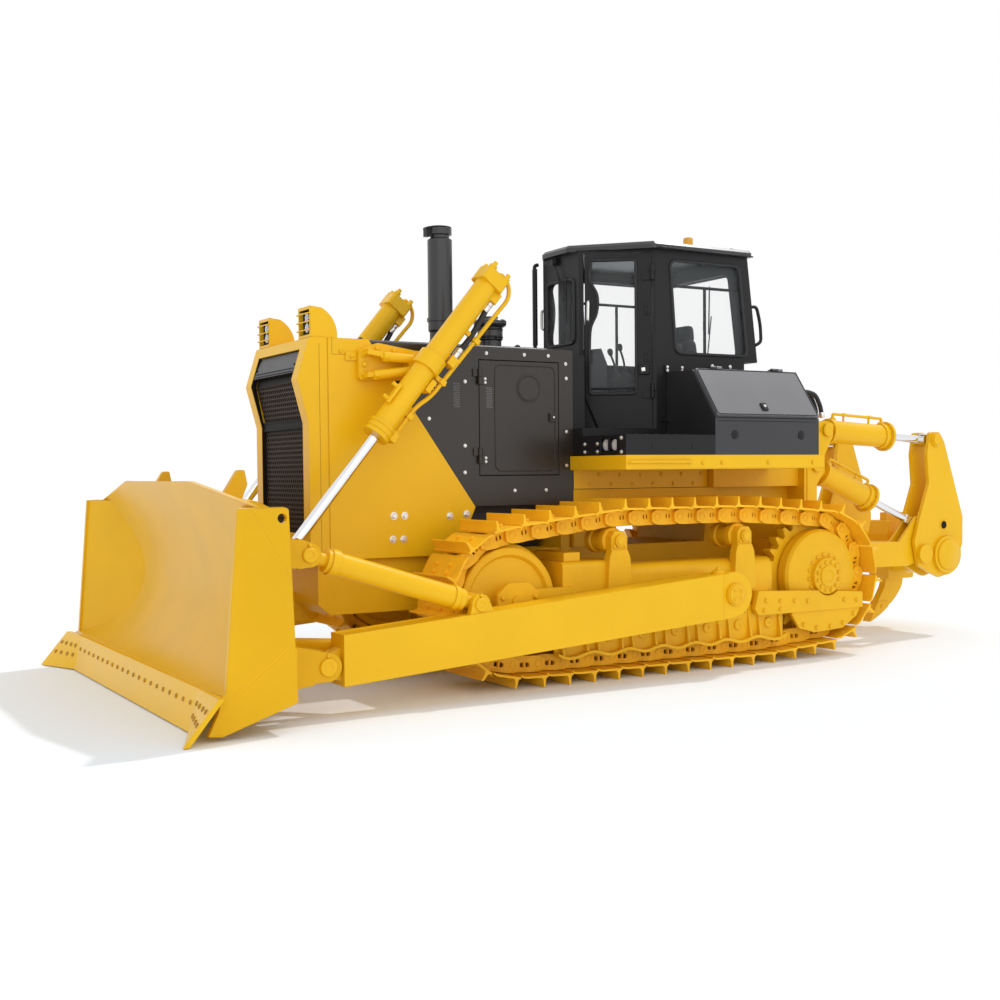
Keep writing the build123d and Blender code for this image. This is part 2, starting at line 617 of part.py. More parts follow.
# Fenders: yellow decks over the tracks
with BuildPart() as fenders:
    block(FENDER_X, (560, FENDER_Y), (1640, DECK_Z))
    block((120, 2110), (640, 1290), (1600, 1720), mode=Mode.SUBTRACT)
    block((640, HOOD_REAR - SEAT_GAP), (500, 561), (1640, 1700))
    mirror(about=Plane.XZ)

# Steps: black boxes on the deck ahead of the service boxes, with lamps
with BuildPart() as steps:
    block((BOX_X[1] + SEAT_GAP, FENDER_X[1]), (705, FENDER_Y), (DECK_Z, STEP_Z))
    block((FENDER_X[1] - 34, FENDER_X[1] + 1), (1000, 1250), (DECK_Z + 23, STEP_Z - 19), mode=Mode.SUBTRACT)
    mirror(about=Plane.XZ)

# Cab base: floor, cowl and the block under the cab
with BuildPart() as cab_base:
    block((700 + SEAT_GAP, HOOD_REAR - SEAT_GAP), (-558, 558), (1480, 1640))
    block((BOX_X[0], HOOD_REAR - SEAT_GAP), (-704.7, 704.7), (DECK_Z, CAB_FLOOR))
    block((BOX_X[0], HOOD_REAR - SEAT_GAP), (-490, 490), (1640, DECK_Z))
    with BuildSketch(Plane.XY.offset(CAB_FLOOR)) as cowl:
        with BuildLine():
            rear, front = CAB_FRONT[0] + SEAT_GAP, HOOD_REAR - SEAT_GAP
            corner = CAB_FRONT[1] + 48
            left = [(rear, corner), (rear + 106, 520), (front, 520)]
            Polyline(*left, *[(x, -y) for x, y in reversed(left)], close=True)
        make_face()
    extrude(amount=2600 - CAB_FLOOR)

# Fuel tank behind the cab
with BuildPart() as fuel_tank:
    seat_x, seat_z = BOX_X[0] - SEAT_GAP, CAB_FLOOR + SEAT_GAP
    front = CAB_REAR_LOW - SEAT_GAP
    tank = [(-240, 1640), (seat_x, 1640), (seat_x, seat_z), (front, seat_z)]
    tank += [(front, 2440), (-120, 2440), (-240, 2300)]
    slab(tank, -BODY_HALF, BODY_HALF)
    fillet(fuel_tank.edges().filter_by(Axis.Y).group_by(Axis.Z)[-1].sort_by(Axis.X)[0], 60)

# Service boxes beside the cab, open under their sloped lids
BOX_INNER_Y = 705.0
LID_RUN = hypot(FENDER_Y - BOX_EDGE_Y, BOX_TOP - BOX_SIDE_Z)
LID_NORMAL = ((BOX_TOP - BOX_SIDE_Z) / LID_RUN, (FENDER_Y - BOX_EDGE_Y) / LID_RUN)
LID_AXIS = (BOX_EDGE_Y + LID_NORMAL[0] * (LID_THICK + 1), BOX_TOP + LID_NORMAL[1] * (LID_THICK + 1))
LID_HINGE_XS = (BOX_X[0] + 170.0, BOX_X[1] - 290.0)
LID_HINGE_R = 14.0
LID_PIN_R = 7.0


def lid_bar(x_low, x_high, radius, mode=Mode.ADD):
    bar((x_low, *LID_AXIS), (x_high, *LID_AXIS), radius, mode)


with BuildPart() as service_boxes:
    section = ((BOX_INNER_Y, DECK_Z), (FENDER_Y, DECK_Z), (FENDER_Y, BOX_SIDE_Z), (BOX_EDGE_Y, BOX_TOP))
    section += ((BOX_INNER_Y, BOX_TOP),)
    sheet(section, *BOX_X)
    room = ((745, 1795), (1310, 1795), (1310, 2050), (1020, 2430), (745, 2430))
    sheet(room, BOX_X[0] + 40, BOX_X[1] - 40, mode=Mode.SUBTRACT)
    slope = Plane(origin=(0, BOX_EDGE_Y, BOX_TOP), x_dir=(1, 0, 0), z_dir=(0, *LID_NORMAL))
    with BuildSketch(slope) as mouth:
        with Locations(((BOX_X[0] + BOX_X[1]) / 2, LID_RUN / 2)):
            Rectangle(BOX_X[1] - BOX_X[0] - 90, LID_RUN - 60)
    extrude(amount=-120, mode=Mode.SUBTRACT)
    for x in LID_HINGE_XS:
        lid_bar(x + KNUCKLE + 2, x + 2 * KNUCKLE, LID_HINGE_R)
        lid_bar(x + 2, x + KNUCKLE + 3, LID_PIN_R)
        ear = ((BOX_EDGE_Y - 40, BOX_TOP), (BOX_EDGE_Y, BOX_TOP), (LID_AXIS[0], LID_AXIS[1] - LID_HINGE_R))
        ear += ((LID_AXIS[0], LID_AXIS[1] + LID_HINGE_R), (BOX_EDGE_Y - 40, BOX_TOP + 12))
        sheet(ear, x + KNUCKLE + 2, x + 2 * KNUCKLE)
    mirror(about=Plane.XZ)

# Left box lid: the sloped panel, hinged along its upper edge
with BuildPart() as box_lid_left:
    with BuildSketch(slope.offset(1.0)) as panel:
        with Locations(((BOX_X[0] + BOX_X[1]) / 2, LID_RUN / 2)):
            Rectangle(BOX_X[1] - BOX_X[0] - 24, LID_RUN - 24)
    extrude(amount=LID_THICK)
    for x in LID_HINGE_XS:
        lid_bar(x, x + KNUCKLE, LID_HINGE_R)
        lid_bar(x - 1, x + KNUCKLE + 1, LID_PIN_R + PIN_GAP, mode=Mode.SUBTRACT)
        notch = (x + KNUCKLE - 5, x + 2 * KNUCKLE + 7)
        lid_bar(*notch, LID_HINGE_R + 8, mode=Mode.SUBTRACT)
with BuildPart() as box_lid_right:
    mirror(box_lid_left.part, about=Plane.XZ)

# Cab shell with window and door openings
WALL_RUN = hypot(CAB_FRONT[0] - CAB_CORNER[0], CAB_CORNER[1] - CAB_FRONT[1])
WALL_DIR = ((CAB_CORNER[0] - CAB_FRONT[0]) / WALL_RUN, (CAB_CORNER[1] - CAB_FRONT[1]) / WALL_RUN)
door_plane = Plane(origin=(*CAB_FRONT, 0), x_dir=(*WALL_DIR, 0), z_dir=(WALL_DIR[1], -WALL_DIR[0], 0))
DOOR_U = (36.0, WALL_RUN - 30.0)
HINGE_U = DOOR_U[1] - 3.0
DOOR_AXIS = (
    CAB_FRONT[0] + WALL_DIR[0] * HINGE_U + WALL_DIR[1] * (HINGE_R + 2),
    CAB_FRONT[1] + WALL_DIR[1] * HINGE_U - WALL_DIR[0] * (HINGE_R + 2),
)
DOOR_Z = (CAB_FLOOR + 8.0, CAB_TOP - 20.0)
door_hole = ((DOOR_U[0] + 110, DOOR_Z[0]), (DOOR_U[1], DOOR_Z[0]), (DOOR_U[1], DOOR_Z[1]))
door_hole += ((DOOR_U[0], DOOR_Z[1]), (DOOR_U[0], DOOR_Z[0] + 260))
WINDOW_TOP = CAB_TOP - 85.0
WINDOW_LOW = CAB_REAR_SILL[1] + 49.0
WINDSHIELD = ((-215, CAB_TOP - 775), (215, CAB_TOP - 775), (215, CAB_TOP - 220), (-215, CAB_TOP - 220))
SIDE_WINDOW = ((366, WINDOW_LOW), (1163, WINDOW_LOW), (1224, WINDOW_TOP), (463, WINDOW_TOP))
REAR_WINDOW = ((-480, WINDOW_LOW + 5), (480, WINDOW_LOW + 5), (480, WINDOW_TOP - 35), (-480, WINDOW_TOP - 35))
GLASS_THICK = 8.0


def cab_plan(inset):
    # The cab seen from above, or its room when the walls are taken off.
    with BuildSketch(Plane.XY.offset(CAB_FLOOR), mode=Mode.PRIVATE) as shape:
        with BuildLine():
            left = [CAB_FRONT, CAB_CORNER, (CAB_REAR_SILL[0], CAB_CORNER[1])]
            Polyline(*left, *[(x, -y) for x, y in reversed(left)], close=True)
        make_face()
        if inset:
            offset(amount=-inset, mode=Mode.REPLACE)
    return shape.sketch


def behind_cab(inset):
    # Everything behind the stepped and raked rear wall, to be cut away.
    sill_x, sill_z = CAB_REAR_SILL
    low_x, top_x = CAB_REAR_LOW + inset, CAB_REAR_TOP + inset
    points = ((0, CAB_FLOOR - 5), (low_x, CAB_FLOOR - 5), (low_x, sill_z + inset))
    points += ((sill_x + inset, sill_z + inset), (top_x, CAB_TOP), (top_x, CAB_TOP + 5))
    slab(points + ((0, CAB_TOP + 5),), -900, 900, mode=Mode.SUBTRACT)


with BuildPart() as cab_room:
    extrude(cab_plan(CAB_WALL), amount=CAB_TOP - CAB_FLOOR)
    behind_cab(CAB_WALL)
with BuildPart() as doorways:
    extrude(outline(door_plane.offset(20), door_hole), amount=-160)
    mirror(about=Plane.XZ)
with BuildPart() as door_posts:
    for z in DOOR_HINGE_ZS:
        hinge_post(*DOOR_AXIS, z)
        post = (z + KNUCKLE + 2, z + 2 * KNUCKLE + 2)
        strap = ((HINGE_U, post[0]), (WALL_RUN - 2, post[0]), (WALL_RUN - 2, post[1]), (HINGE_U, post[1]))
        extrude(outline(door_plane, strap), amount=14)
    mirror(about=Plane.XZ)
with BuildPart() as cab_frame:
    extrude(cab_plan(0), amount=CAB_TOP - CAB_FLOOR)
    behind_cab(0)
    add(cab_room.part, mode=Mode.SUBTRACT)
    add(doorways.part, mode=Mode.SUBTRACT)
    for side in (1, -1):
        slab(SIDE_WINDOW, *sorted((side * 600, side * 750)), mode=Mode.SUBTRACT, radius=70)
    add(door_posts.part)
    sheet(WINDSHIELD, CAB_FRONT[0] - 80, CAB_FRONT[0] + 20, mode=Mode.SUBTRACT, radius=60)
    sheet(REAR_WINDOW, CAB_REAR_SILL[0] - 10, CAB_REAR_LOW + 80, mode=Mode.SUBTRACT, radius=70)

# Cab roof with its overhanging edge and the stand for a beacon
ROOF_TOP = CAB_TOP + ROOF_THICK
with BuildPart() as cab_roof:
    with BuildSketch(Plane.XY.offset(CAB_TOP)) as eaves:
        with BuildLine():
            left = [(CAB_FRONT[0] + 65, 200), (CAB_CORNER[0] + 53, CAB_CORNER[1] + 50)]
            left += [(CAB_REAR_TOP - 39, CAB_CORNER[1] + 40)]
            Polyline(*left, *[(x, -y) for x, y in reversed(left)], close=True)
        make_face()
        fillet(eaves.vertices(), 45)
    extrude(amount=ROOF_THICK)
    chamfer(cab_roof.faces().sort_by(Axis.Z)[-1].edges(), 25)
    bar((650, 0, ROOF_TOP - 1), (650, 0, ROOF_TOP + 40), 52)

# Fixed cab windows: raked rear pane, side panes and windshield
with BuildPart() as cab_glass:
    def shrunk(points):
        mid = [sum(p[k] for p in points) / 4 for k in (0, 1)]
        return [tuple(p[k] - SEAT_GAP * (1 if p[k] > mid[k] else -1) for k in (0, 1)) for p in points]

    sill_x, sill_z = CAB_REAR_SILL[0] + 26, CAB_REAR_SILL[1]
    top_x = CAB_REAR_TOP + 26
    sheet(shrunk(REAR_WINDOW), CAB_REAR_SILL[0] - 50, CAB_REAR_LOW + 80, radius=70.5)
    raked = [(sill_x, sill_z), (top_x, CAB_TOP)]
    raked += [(top_x + GLASS_THICK, CAB_TOP), (sill_x + GLASS_THICK, sill_z)]
    slab(raked, -600, 600, mode=Mode.INTERSECT)
    pane_y = (CAB_CORNER[1] - 26 - GLASS_THICK, CAB_CORNER[1] - 26)
    for side in (1, -1):
        slab(shrunk(SIDE_WINDOW), *sorted((side * pane_y[0], side * pane_y[1])), radius=70.5)
    sheet(shrunk(WINDSHIELD), CAB_FRONT[0] - 26 - GLASS_THICK, CAB_FRONT[0] - 26, radius=60.5)

# Left cab door, hinged at its rear edge
GLASS_REAR_U = 487.0
GLASS_LOW = CAB_FLOOR + 305.0
GLASS_EDGE = ((110, 0), (92, -148), (157, -293), (152, -440), (100, -571), (88, -761))


def door_pane(plane, inset):
    # The door window, with its wavy front edge.
    with BuildSketch(plane, mode=Mode.PRIVATE) as shape:
        with BuildLine():
            edge = [(u + inset, WINDOW_TOP + drop) for u, drop in GLASS_EDGE]
            edge[0] = (edge[0][0], WINDOW_TOP - inset)
            Spline(*edge, tangents=((0, -1), (0, -1)))
            low, rear = GLASS_LOW + inset, GLASS_REAR_U - inset
            Polyline(edge[-1], (edge[-1][0], low), (rear, low), (rear, edge[0][1]), edge[0])
        make_face()
    return shape.sketch


with BuildPart() as cab_door_left:
    front = DOOR_U[0] + 14
    rear = DOOR_U[1] - DOOR_GAP
    low = DOOR_Z[0] + DOOR_GAP
    high = DOOR_Z[1] - DOOR_GAP
    leaf = ((front + 112, low), (rear, low), (rear, high), (front, high), (front, low + 262))
    extrude(outline(door_plane, leaf), amount=-CAB_WALL)
    extrude(door_pane(door_plane.offset(10), 0), amount=-CAB_WALL - 30, mode=Mode.SUBTRACT)
    for z in DOOR_HINGE_ZS:
        knuckle(*DOOR_AXIS, z)
        strap = ((HINGE_U - 85, z), (HINGE_U, z), (HINGE_U, z + KNUCKLE), (HINGE_U - 85, z + KNUCKLE))
        extrude(outline(door_plane, strap), amount=14)
        knuckle_bore(*DOOR_AXIS, z)
with BuildPart() as door_glass_left:
    extrude(door_pane(door_plane.offset(-26), 2 * SEAT_GAP), amount=-GLASS_THICK)
with BuildPart() as cab_door_right:
    mirror(cab_door_left.part, about=Plane.XZ)
with BuildPart() as door_glass_right:
    mirror(door_glass_left.part, about=Plane.XZ)

# Seat and console inside the cab
with BuildPart() as seat:
    block((560, 900), (-180, 180), (CAB_FLOOR, 2300))
    block((500, 1020), (-270, 270), (2300, 2440))
    slab(((530, 2380), (670, 2380), (590, 3050), (475, 3050)), -260, 260)
with BuildPart() as console:
    block((1560, 1790), (-240, 240), (CAB_FLOOR, 2560))
    for side in (-1, 1):
        block((600, 1080), sorted((side * 330, side * 460)), (CAB_FLOOR, 2520))

# Blade: a curved plate with two wings bent forward, stiffened by boxes and ribs on its back
FACE = ((5483, 1586), (5290, 1180), (5240, 820), (5360, 490), (5640, 283))
BLADE_PLATE = 48.0
BLADE_BACK_X = 4900.0
EAR_HOLE = (5238.0, 1354.0)
EAR_HOLE_R = 30.0
LIFT_LUG_IN = 52.0
LIFT_LUG_OUT = 92.0
LOWER_BOX = ((5150, 193), (5150, 540), (5330, 640), (5700, 300), (5664, 183.7))
UPPER_BOX = ((5194, 1300), (5194, 1407), (5330, 1470), (5470, 1470), (5400, 1240))
RIB = ((5150, 200), (5150, 560), (5180, 900), (5194, 1400), (5400, 1400), (5700, 300))
with BuildPart() as blade_front:
    with BuildSketch(Plane.XZ.offset(-BLADE_HALF)) as behind:
        with BuildLine():
            Spline(*FACE)
            foot = ((5664, 183.7), (BLADE_BACK_X, 183.7))
            Polyline(FACE[-1], *foot, (BLADE_BACK_X, 1600), (5440, 1600), FACE[0])
        make_face()
    extrude(amount=2 * BLADE_HALF)
    slope_x = 1000 * sin(radians(WING_ANGLE)) / cos(radians(WING_ANGLE))
    for side in (1, -1):
        tip = ((5000, 276), (5619, 276), (5526, 1420), (5000, 1420))
        root = tuple((x - slope_x, z) for x, z in tip)
        ends = [outline(Plane.XZ.offset(-side * BLADE_HALF), tip)]
        ends.append(outline(Plane.XZ.offset(-side * (BLADE_HALF - 1000)), root))
        loft(ends, ruled=True)
with BuildPart() as blade:
    add(blade_front.part)
    add(blade_front.part.moved(Location((-BLADE_PLATE, 0, 0))), mode=Mode.SUBTRACT)
    slab(LOWER_BOX, -BLADE_HALF + 2, BLADE_HALF - 2)
    slab(UPPER_BOX, -BLADE_HALF + 274, BLADE_HALF - 274)
    for y in (-1300, -560, 520, 1260):
        slab(RIB, y, y + 40)
    for side in (1, -1):
        for y in (LIFT_Y - LIFT_LUG_OUT, LIFT_Y + LIFT_LUG_IN):
            span = sorted((side * y, side * (y + LIFT_LUG_OUT - LIFT_LUG_IN)))
            rounded_lug(LIFT_EYE, 88, ((5400, 1330), (5400, 820)), *span)
        for y in (BRACE_Y - LUG_OUTER, BRACE_Y + LUG_INNER):
            span = sorted((side * y, side * (y + LUG_OUTER - LUG_INNER)))
            rounded_lug(ARM_PIN, 98, ((5200, 540), (5200, 193)), *span)
            rounded_lug(BRACE_HEAD, 82, ((5600, 1330), (5600, 1000)), *span)
    add(blade_front.part, mode=Mode.INTERSECT)
    for side in (1, -1):
        plate = ((5526, 1420), (5619, 276), (5731, 40), (5640, 30), (5150, 193), (5194, 1407), (5238, 1440))
        slab(plate, *sorted((side * (BLADE_HALF - BLADE_WALL), side * BLADE_HALF)))
        tip_y = side * (BLADE_HALF + 26)
        above = ((side * 810, 1587), (tip_y, 1414), (tip_y, 1800), (side * 810, 1800))
        sheet(above, 5100, 5600, mode=Mode.SUBTRACT)
        for y in (LIFT_Y - LIFT_LUG_OUT, LIFT_Y + LIFT_LUG_IN):
            span = sorted((side * y, side * (y + LIFT_LUG_OUT - LIFT_LUG_IN)))
            rounded_lug(LIFT_EYE, 88, ((5000, 1210), (5000, 950)), *span)
        ear = ((5300, 1300), (5300, 1440), (5160, 1660), (5110, 1660), (5090, 1560), (5194, 1300))
        slab(ear, *sorted((side * 880, side * 930)), radius=14)
        for y in (BRACE_Y - LUG_OUTER, BRACE_Y + LUG_INNER):
            span = sorted((side * y, side * (y + LUG_OUTER - LUG_INNER)))
            rounded_lug(ARM_PIN, 98, ((5000, 480), (5000, 240)), *span)
            rounded_lug(BRACE_HEAD, 82, ((5000, 1210), (5000, 1005)), *span)
        hole_y = sorted((side * (BLADE_HALF - 120), side * (BLADE_HALF + 30)))
        disc(*EAR_HOLE, EAR_HOLE_R, *hole_y, mode=Mode.SUBTRACT)
        pin_y = sorted((side * (BRACE_Y - LUG_OUTER + 5), side * (BRACE_Y + LUG_OUTER - 5)))
        disc(*ARM_PIN, ARM_PIN_R, *pin_y)
        disc(*BRACE_HEAD, BRACE_PIN_R, *pin_y)
    block((5100, 5700), (-810, 810), (1586, 1700), mode=Mode.SUBTRACT)

# Cutting edge and end bits bolted along the bottom of the blade
with BuildPart() as cutting_edge:
    lip = ((5640.3, 283), (5676.3, 283), (5742.3, 10), (5706.3, 10))
    slab(lip, -EDGE_HALF, EDGE_HALF)
    flare = ((5652, 280), (5692, 280), (FRONT_REACH, 6), (5874, 6))
    for side in (1, -1):
        inner_end = outline(Plane.XZ.offset(-side * EDGE_HALF), lip)
        outer_end = outline(Plane.XZ.offset(-side * END_BIT_HALF), flare)
        loft([inner_end, outer_end], ruled=True)

# Left push arm: box beam from the trunnion to the blade, with its brace lugs and diagonal link
ARM_END_X = 4690.0
LINK_R = 62.0
with BuildPart() as push_arm_left:
    beam = ((1316, 812), (1316, 452), (ARM_END_X, 205), (ARM_END_X, 552))
    slab(beam, *ARM_Y)
    disc(TRUNNION_X, TRUNNION_Z, 178.0, *ARM_Y)
    rounded_lug(ARM_PIN, 76, ((4660, 470), (4660, 232)), BRACE_Y - TONGUE_HALF, BRACE_Y + TONGUE_HALF)
    disc(TRUNNION_X, TRUNNION_Z, TRUNNION_R + PIN_GAP, ARM_Y[0] - 5, ARM_Y[1] + 5, mode=Mode.SUBTRACT)
    disc(*ARM_PIN, ARM_PIN_R + SEAT_GAP, *ARM_Y, mode=Mode.SUBTRACT)
    for y in (BRACE_Y - LUG_OUTER, BRACE_Y + LUG_INNER):
        rounded_lug(BRACE_FOOT, 74, ((3740, 560), (3490, 560)), y, y + LUG_OUTER - LUG_INNER)
    disc(*BRACE_FOOT, BRACE_PIN_R, BRACE_Y - LUG_OUTER + 5, BRACE_Y + LUG_OUTER - 5)
    bar((4450, ARM_Y[0] + 30, 430), (5220, 690, 420), LINK_R)
    block((5150 - SEAT_GAP, 5400), (500, 1000), (300, 560), mode=Mode.SUBTRACT)
with BuildPart() as push_arm_right:
    mirror(push_arm_left.part, about=Plane.XZ)

# Left brace strut and right tilt cylinder between arm and blade
BRACE_SPAN = hypot(BRACE_HEAD[0] - BRACE_FOOT[0], BRACE_HEAD[1] - BRACE_FOOT[1])


def brace_eyes(y):
    for pin in (BRACE_FOOT, BRACE_HEAD):
        disc(*pin, 57.0, y - TONGUE_HALF, y + TONGUE_HALF)
        disc(*pin, BRACE_PIN_R + SEAT_GAP, y - 60, y + 60, mode=Mode.SUBTRACT)


def brace_run(y, low, high, radius):
    bar(at_y(along(BRACE_FOOT, BRACE_HEAD, low), y), at_y(along(BRACE_FOOT, BRACE_HEAD, high), y), radius)


with BuildPart() as brace_left:
    brace_run(BRACE_Y, 45, BRACE_SPAN - 45, 46)
    brace_run(BRACE_Y, 110, BRACE_SPAN - 150, BRACE_R)
    brace_run(BRACE_Y, 160, 200, BRACE_R + 10)
    brace_run(BRACE_Y, BRACE_SPAN - 240, BRACE_SPAN - 180, BRACE_R + 12)
    brace_eyes(BRACE_Y)
with BuildPart() as tilt_cylinder:
    brace_run(-BRACE_Y, 45, BRACE_SPAN - 45, 46)
    brace_run(-BRACE_Y, 110, 830, 98)
    brace_run(-BRACE_Y, 110, 170, 106)
    brace_run(-BRACE_Y, 760, 830, 108)
    brace_eyes(-BRACE_Y)

# Lift cylinder barrels on trunnion pins, with a square head, port blocks and a gland collar
LIFT_SPAN = hypot(LIFT_EYE[0] - LIFT_RING[0], LIFT_EYE[1] - LIFT_RING[1])
LIFT_DIR = along((0, 0), (LIFT_EYE[0] - LIFT_RING[0], LIFT_EYE[1] - LIFT_RING[1]), 1.0)
LIFT_HEAD = 208.0


def lift_run(low, high, radius, mode=Mode.ADD):
    start = at_y(along(LIFT_RING, LIFT_EYE, low), LIFT_Y)
    bar(start, at_y(along(LIFT_RING, LIFT_EYE, high), LIFT_Y), radius, mode)


def lift_block(low, high, width, out_low, out_high, radius):
    # A block along the barrel, wide across it and reaching out on its rear side.
    start = Vector(*at_y(along(LIFT_RING, LIFT_EYE, low), LIFT_Y))
    face = Plane(origin=start, x_dir=(0, 1, 0), z_dir=(LIFT_DIR[0], 0, LIFT_DIR[1]))
    with BuildSketch(face, mode=Mode.PRIVATE) as shape:
        with Locations((0, -(out_low + out_high) / 2)):
            RectangleRounded(width, out_high - out_low, radius)
    extrude(shape.sketch, amount=high - low)


with BuildPart() as lift_barrels:
    lift_run(-LIFT_BARREL_UP, LIFT_BARREL_DOWN, LIFT_BARREL_R)
    lift_block(-LIFT_BARREL_UP - 62, -LIFT_BARREL_UP + 48, LIFT_HEAD, -LIFT_HEAD / 2, LIFT_HEAD / 2, 26)
    lift_block(-LIFT_BARREL_UP + 30, -LIFT_BARREL_UP + 120, 96, 60, 138, 12)
    lift_block(LIFT_BARREL_DOWN - 130, LIFT_BARREL_DOWN - 50, 84, 60, 132, 12)
    lift_run(LIFT_BARREL_DOWN - 110, LIFT_BARREL_DOWN, LIFT_BARREL_R + 14)
    lift_run(-64, 64, LIFT_BARREL_R + 22)
    disc(*LIFT_RING, LIFT_PIN_R, 660, LIFT_Y)
    disc(*LIFT_RING, LIFT_PIN_R + 26, COLLAR_OUT_Y + 6, LIFT_Y)
    lift_run(-LIFT_BARREL_UP + 20, LIFT_BARREL_DOWN + 1, LIFT_ROD_R + ROD_GAP, mode=Mode.SUBTRACT)
    mirror(about=Plane.XZ)

# Lift cylinder rods with their eyes between the blade brackets
with BuildPart() as lift_rods:
    tail = along(LIFT_RING, LIFT_EYE, LIFT_SPAN - LIFT_ROD_LENGTH)
    bar(at_y(tail, LIFT_Y), at_y(LIFT_EYE, LIFT_Y), LIFT_ROD_R)
    disc(*LIFT_EYE, 68.0, LIFT_Y - LIFT_EYE_HALF, LIFT_Y + LIFT_EYE_HALF)
    mirror(about=Plane.XZ)

# Ripper mounting bracket at the rear of the hull
with BuildPart() as ripper_bracket:
    block((-340, -300), (-720, 720), (500, 2060))
    cheek = ((-330, 640), (-600, 700), (-690, 760), (-690, 880), (-560, 1010), (-450, 1300), (-450, 1490))
    cheek += ((-535, 1600), (-545, 1760), (-650, 1930), (-660, 2050), (-560, 2080), (-330, 2060))
    for side in (1, -1):
        for y in (-CHEEK_OUT, CHEEK_IN):
            low = side * RIPPER_Y + y
            slab(cheek, low, low + CHEEK_OUT - CHEEK_IN, radius=12)
        for pin in (RIPPER_ARM_FRONT, RIPPER_TOP_FRONT, RIPPER_LIFT_FRONT):
            disc(*pin, RIPPER_PIN_R, side * RIPPER_Y - CHEEK_OUT - 16, side * RIPPER_Y + CHEEK_OUT + 16)

# Ripper lower arms joined by a cross tube
ROD_LUG = 28.0
with BuildPart() as ripper_arm:
    for side in (1, -1):
        span = (side * RIPPER_Y - EYE_HALF, side * RIPPER_Y + EYE_HALF)
        shape = [(-600, 891), (-600, 727), (-800, 690), (-1700, 680)]
        shape += [(-1840, 716), (-1840, 874), (-1780, 915), (-900, 935)]
        slab(shape, *span)
        disc(*RIPPER_ARM_FRONT, RIPPER_EYE_R, *span)
        disc(*RIPPER_ARM_REAR, RIPPER_EYE_R, *span)
        for low in (span[0], span[1] - ROD_LUG):
            rounded_lug(RIPPER_LIFT_REAR, 70, ((-1560, 900), (-1770, 900)), low, low + ROD_LUG)
        disc(*RIPPER_ARM_FRONT, RIPPER_PIN_R + PIN_GAP, span[0] - 5, span[1] + 5, mode=Mode.SUBTRACT)
        disc(*RIPPER_ARM_REAR, RIPPER_PIN_R + PIN_GAP, span[0] - 5, span[1] + 5, mode=Mode.SUBTRACT)
    bar((-1250, -RIPPER_Y, 805), (-1250, RIPPER_Y, 805), 100)

# Ripper frame: cheek plates, round beam with end caps and the shank holder
BEAM = (-2175.0, 777.0)
BEAM_R = 205.0
SHANK_HALF = 40.0
SHANK_X = (-2325.0, -2075.0)
SHANK_BEND = 488.0
upright = ((-1948, 1985), (-2080, 1985), (-2150, 1890), (REAR_REACH, 1150), (REAR_REACH, 880), (-2290, 600))
upright += ((-2080, 552), (-1790, 680), (-1735, 918), (-1810, 1150), (-1935, 1480), (-1908, 1770))
with BuildPart() as ripper_frame:
    for side in (1, -1):
        for y in (-CHEEK_OUT, CHEEK_IN):
            low = side * RIPPER_Y + y
            slab(upright, low, low + CHEEK_OUT - CHEEK_IN, radius=36)
        disc(*BEAM, BEAM_R - 20, *sorted((side * RIPPER_Y, side * (RIPPER_Y + CHEEK_OUT + 34))))
        boss_y = sorted((side * (RIPPER_Y + CHEEK_IN), side * (RIPPER_Y + CHEEK_OUT + 18)))
        disc(*RIPPER_TOP_REAR, RIPPER_PIN_R + 22, *boss_y)
    disc(*BEAM, BEAM_R, -RIPPER_Y - CHEEK_OUT, RIPPER_Y + CHEEK_OUT)
    sleeve = [(-2375, 500), (-2022, 500), (-2005, 620), (-2005, 960)]
    sleeve += [(-2040, 1100), (-2375, 1100), (-2392, 960), (-2392, 620)]
    slab(sleeve, -132, 132, radius=20)
    block(SHANK_X, (-SHANK_HALF - SEAT_GAP, SHANK_HALF + SEAT_GAP), (400, 1200), mode=Mode.SUBTRACT)
    disc(*RIPPER_ARM_REAR, RIPPER_PIN_R + PIN_GAP, -900, 900, mode=Mode.SUBTRACT)

# Hinge shaft joining the arms to the ripper frame, thicker between the cheeks, with a head at each end
SHAFT_R = 76.0
HEAD_R = 92.0
with BuildPart() as ripper_pins:
    inner = RIPPER_Y - CHEEK_OUT - PIN_GAP
    outer = RIPPER_Y + CHEEK_OUT + PIN_GAP
    disc(*RIPPER_ARM_REAR, RIPPER_PIN_R, -outer - 5, outer + 5)
    disc(*RIPPER_ARM_REAR, SHAFT_R, -inner, inner)
    for side in (1, -1):
        disc(*RIPPER_ARM_REAR, HEAD_R, *sorted((side * outer, side * (outer + 40))))
        disc(*RIPPER_ARM_REAR, HEAD_R, *sorted((side * inner, side * (inner - 60))))

# Ripper shank: straight in its holder, curved forward below it, with a pointed tooth
with BuildPart() as ripper_shank:
    back, front = SHANK_X[0] + SEAT_GAP, SHANK_X[1] - SEAT_GAP
    with BuildSketch(Plane.XZ.offset(-SHANK_HALF)) as shank:
        with BuildLine():
            Polyline((back, SHANK_BEND), (back, 1180), (front, 1180), (front, SHANK_BEND))
            Spline((front, SHANK_BEND), (-2040, 380), (-1962, 262), tangents=((0, -1), (0.55, -0.83)))
            Polyline((-1962, 262), (-1845, 69), (-1990, 140), (-2140, 232))
            Spline((-2140, 232), (-2268, 352), (back, SHANK_BEND), tangents=((-0.85, 0.53), (0, 1)))
        make_face()
    extrude(amount=2 * SHANK_HALF)

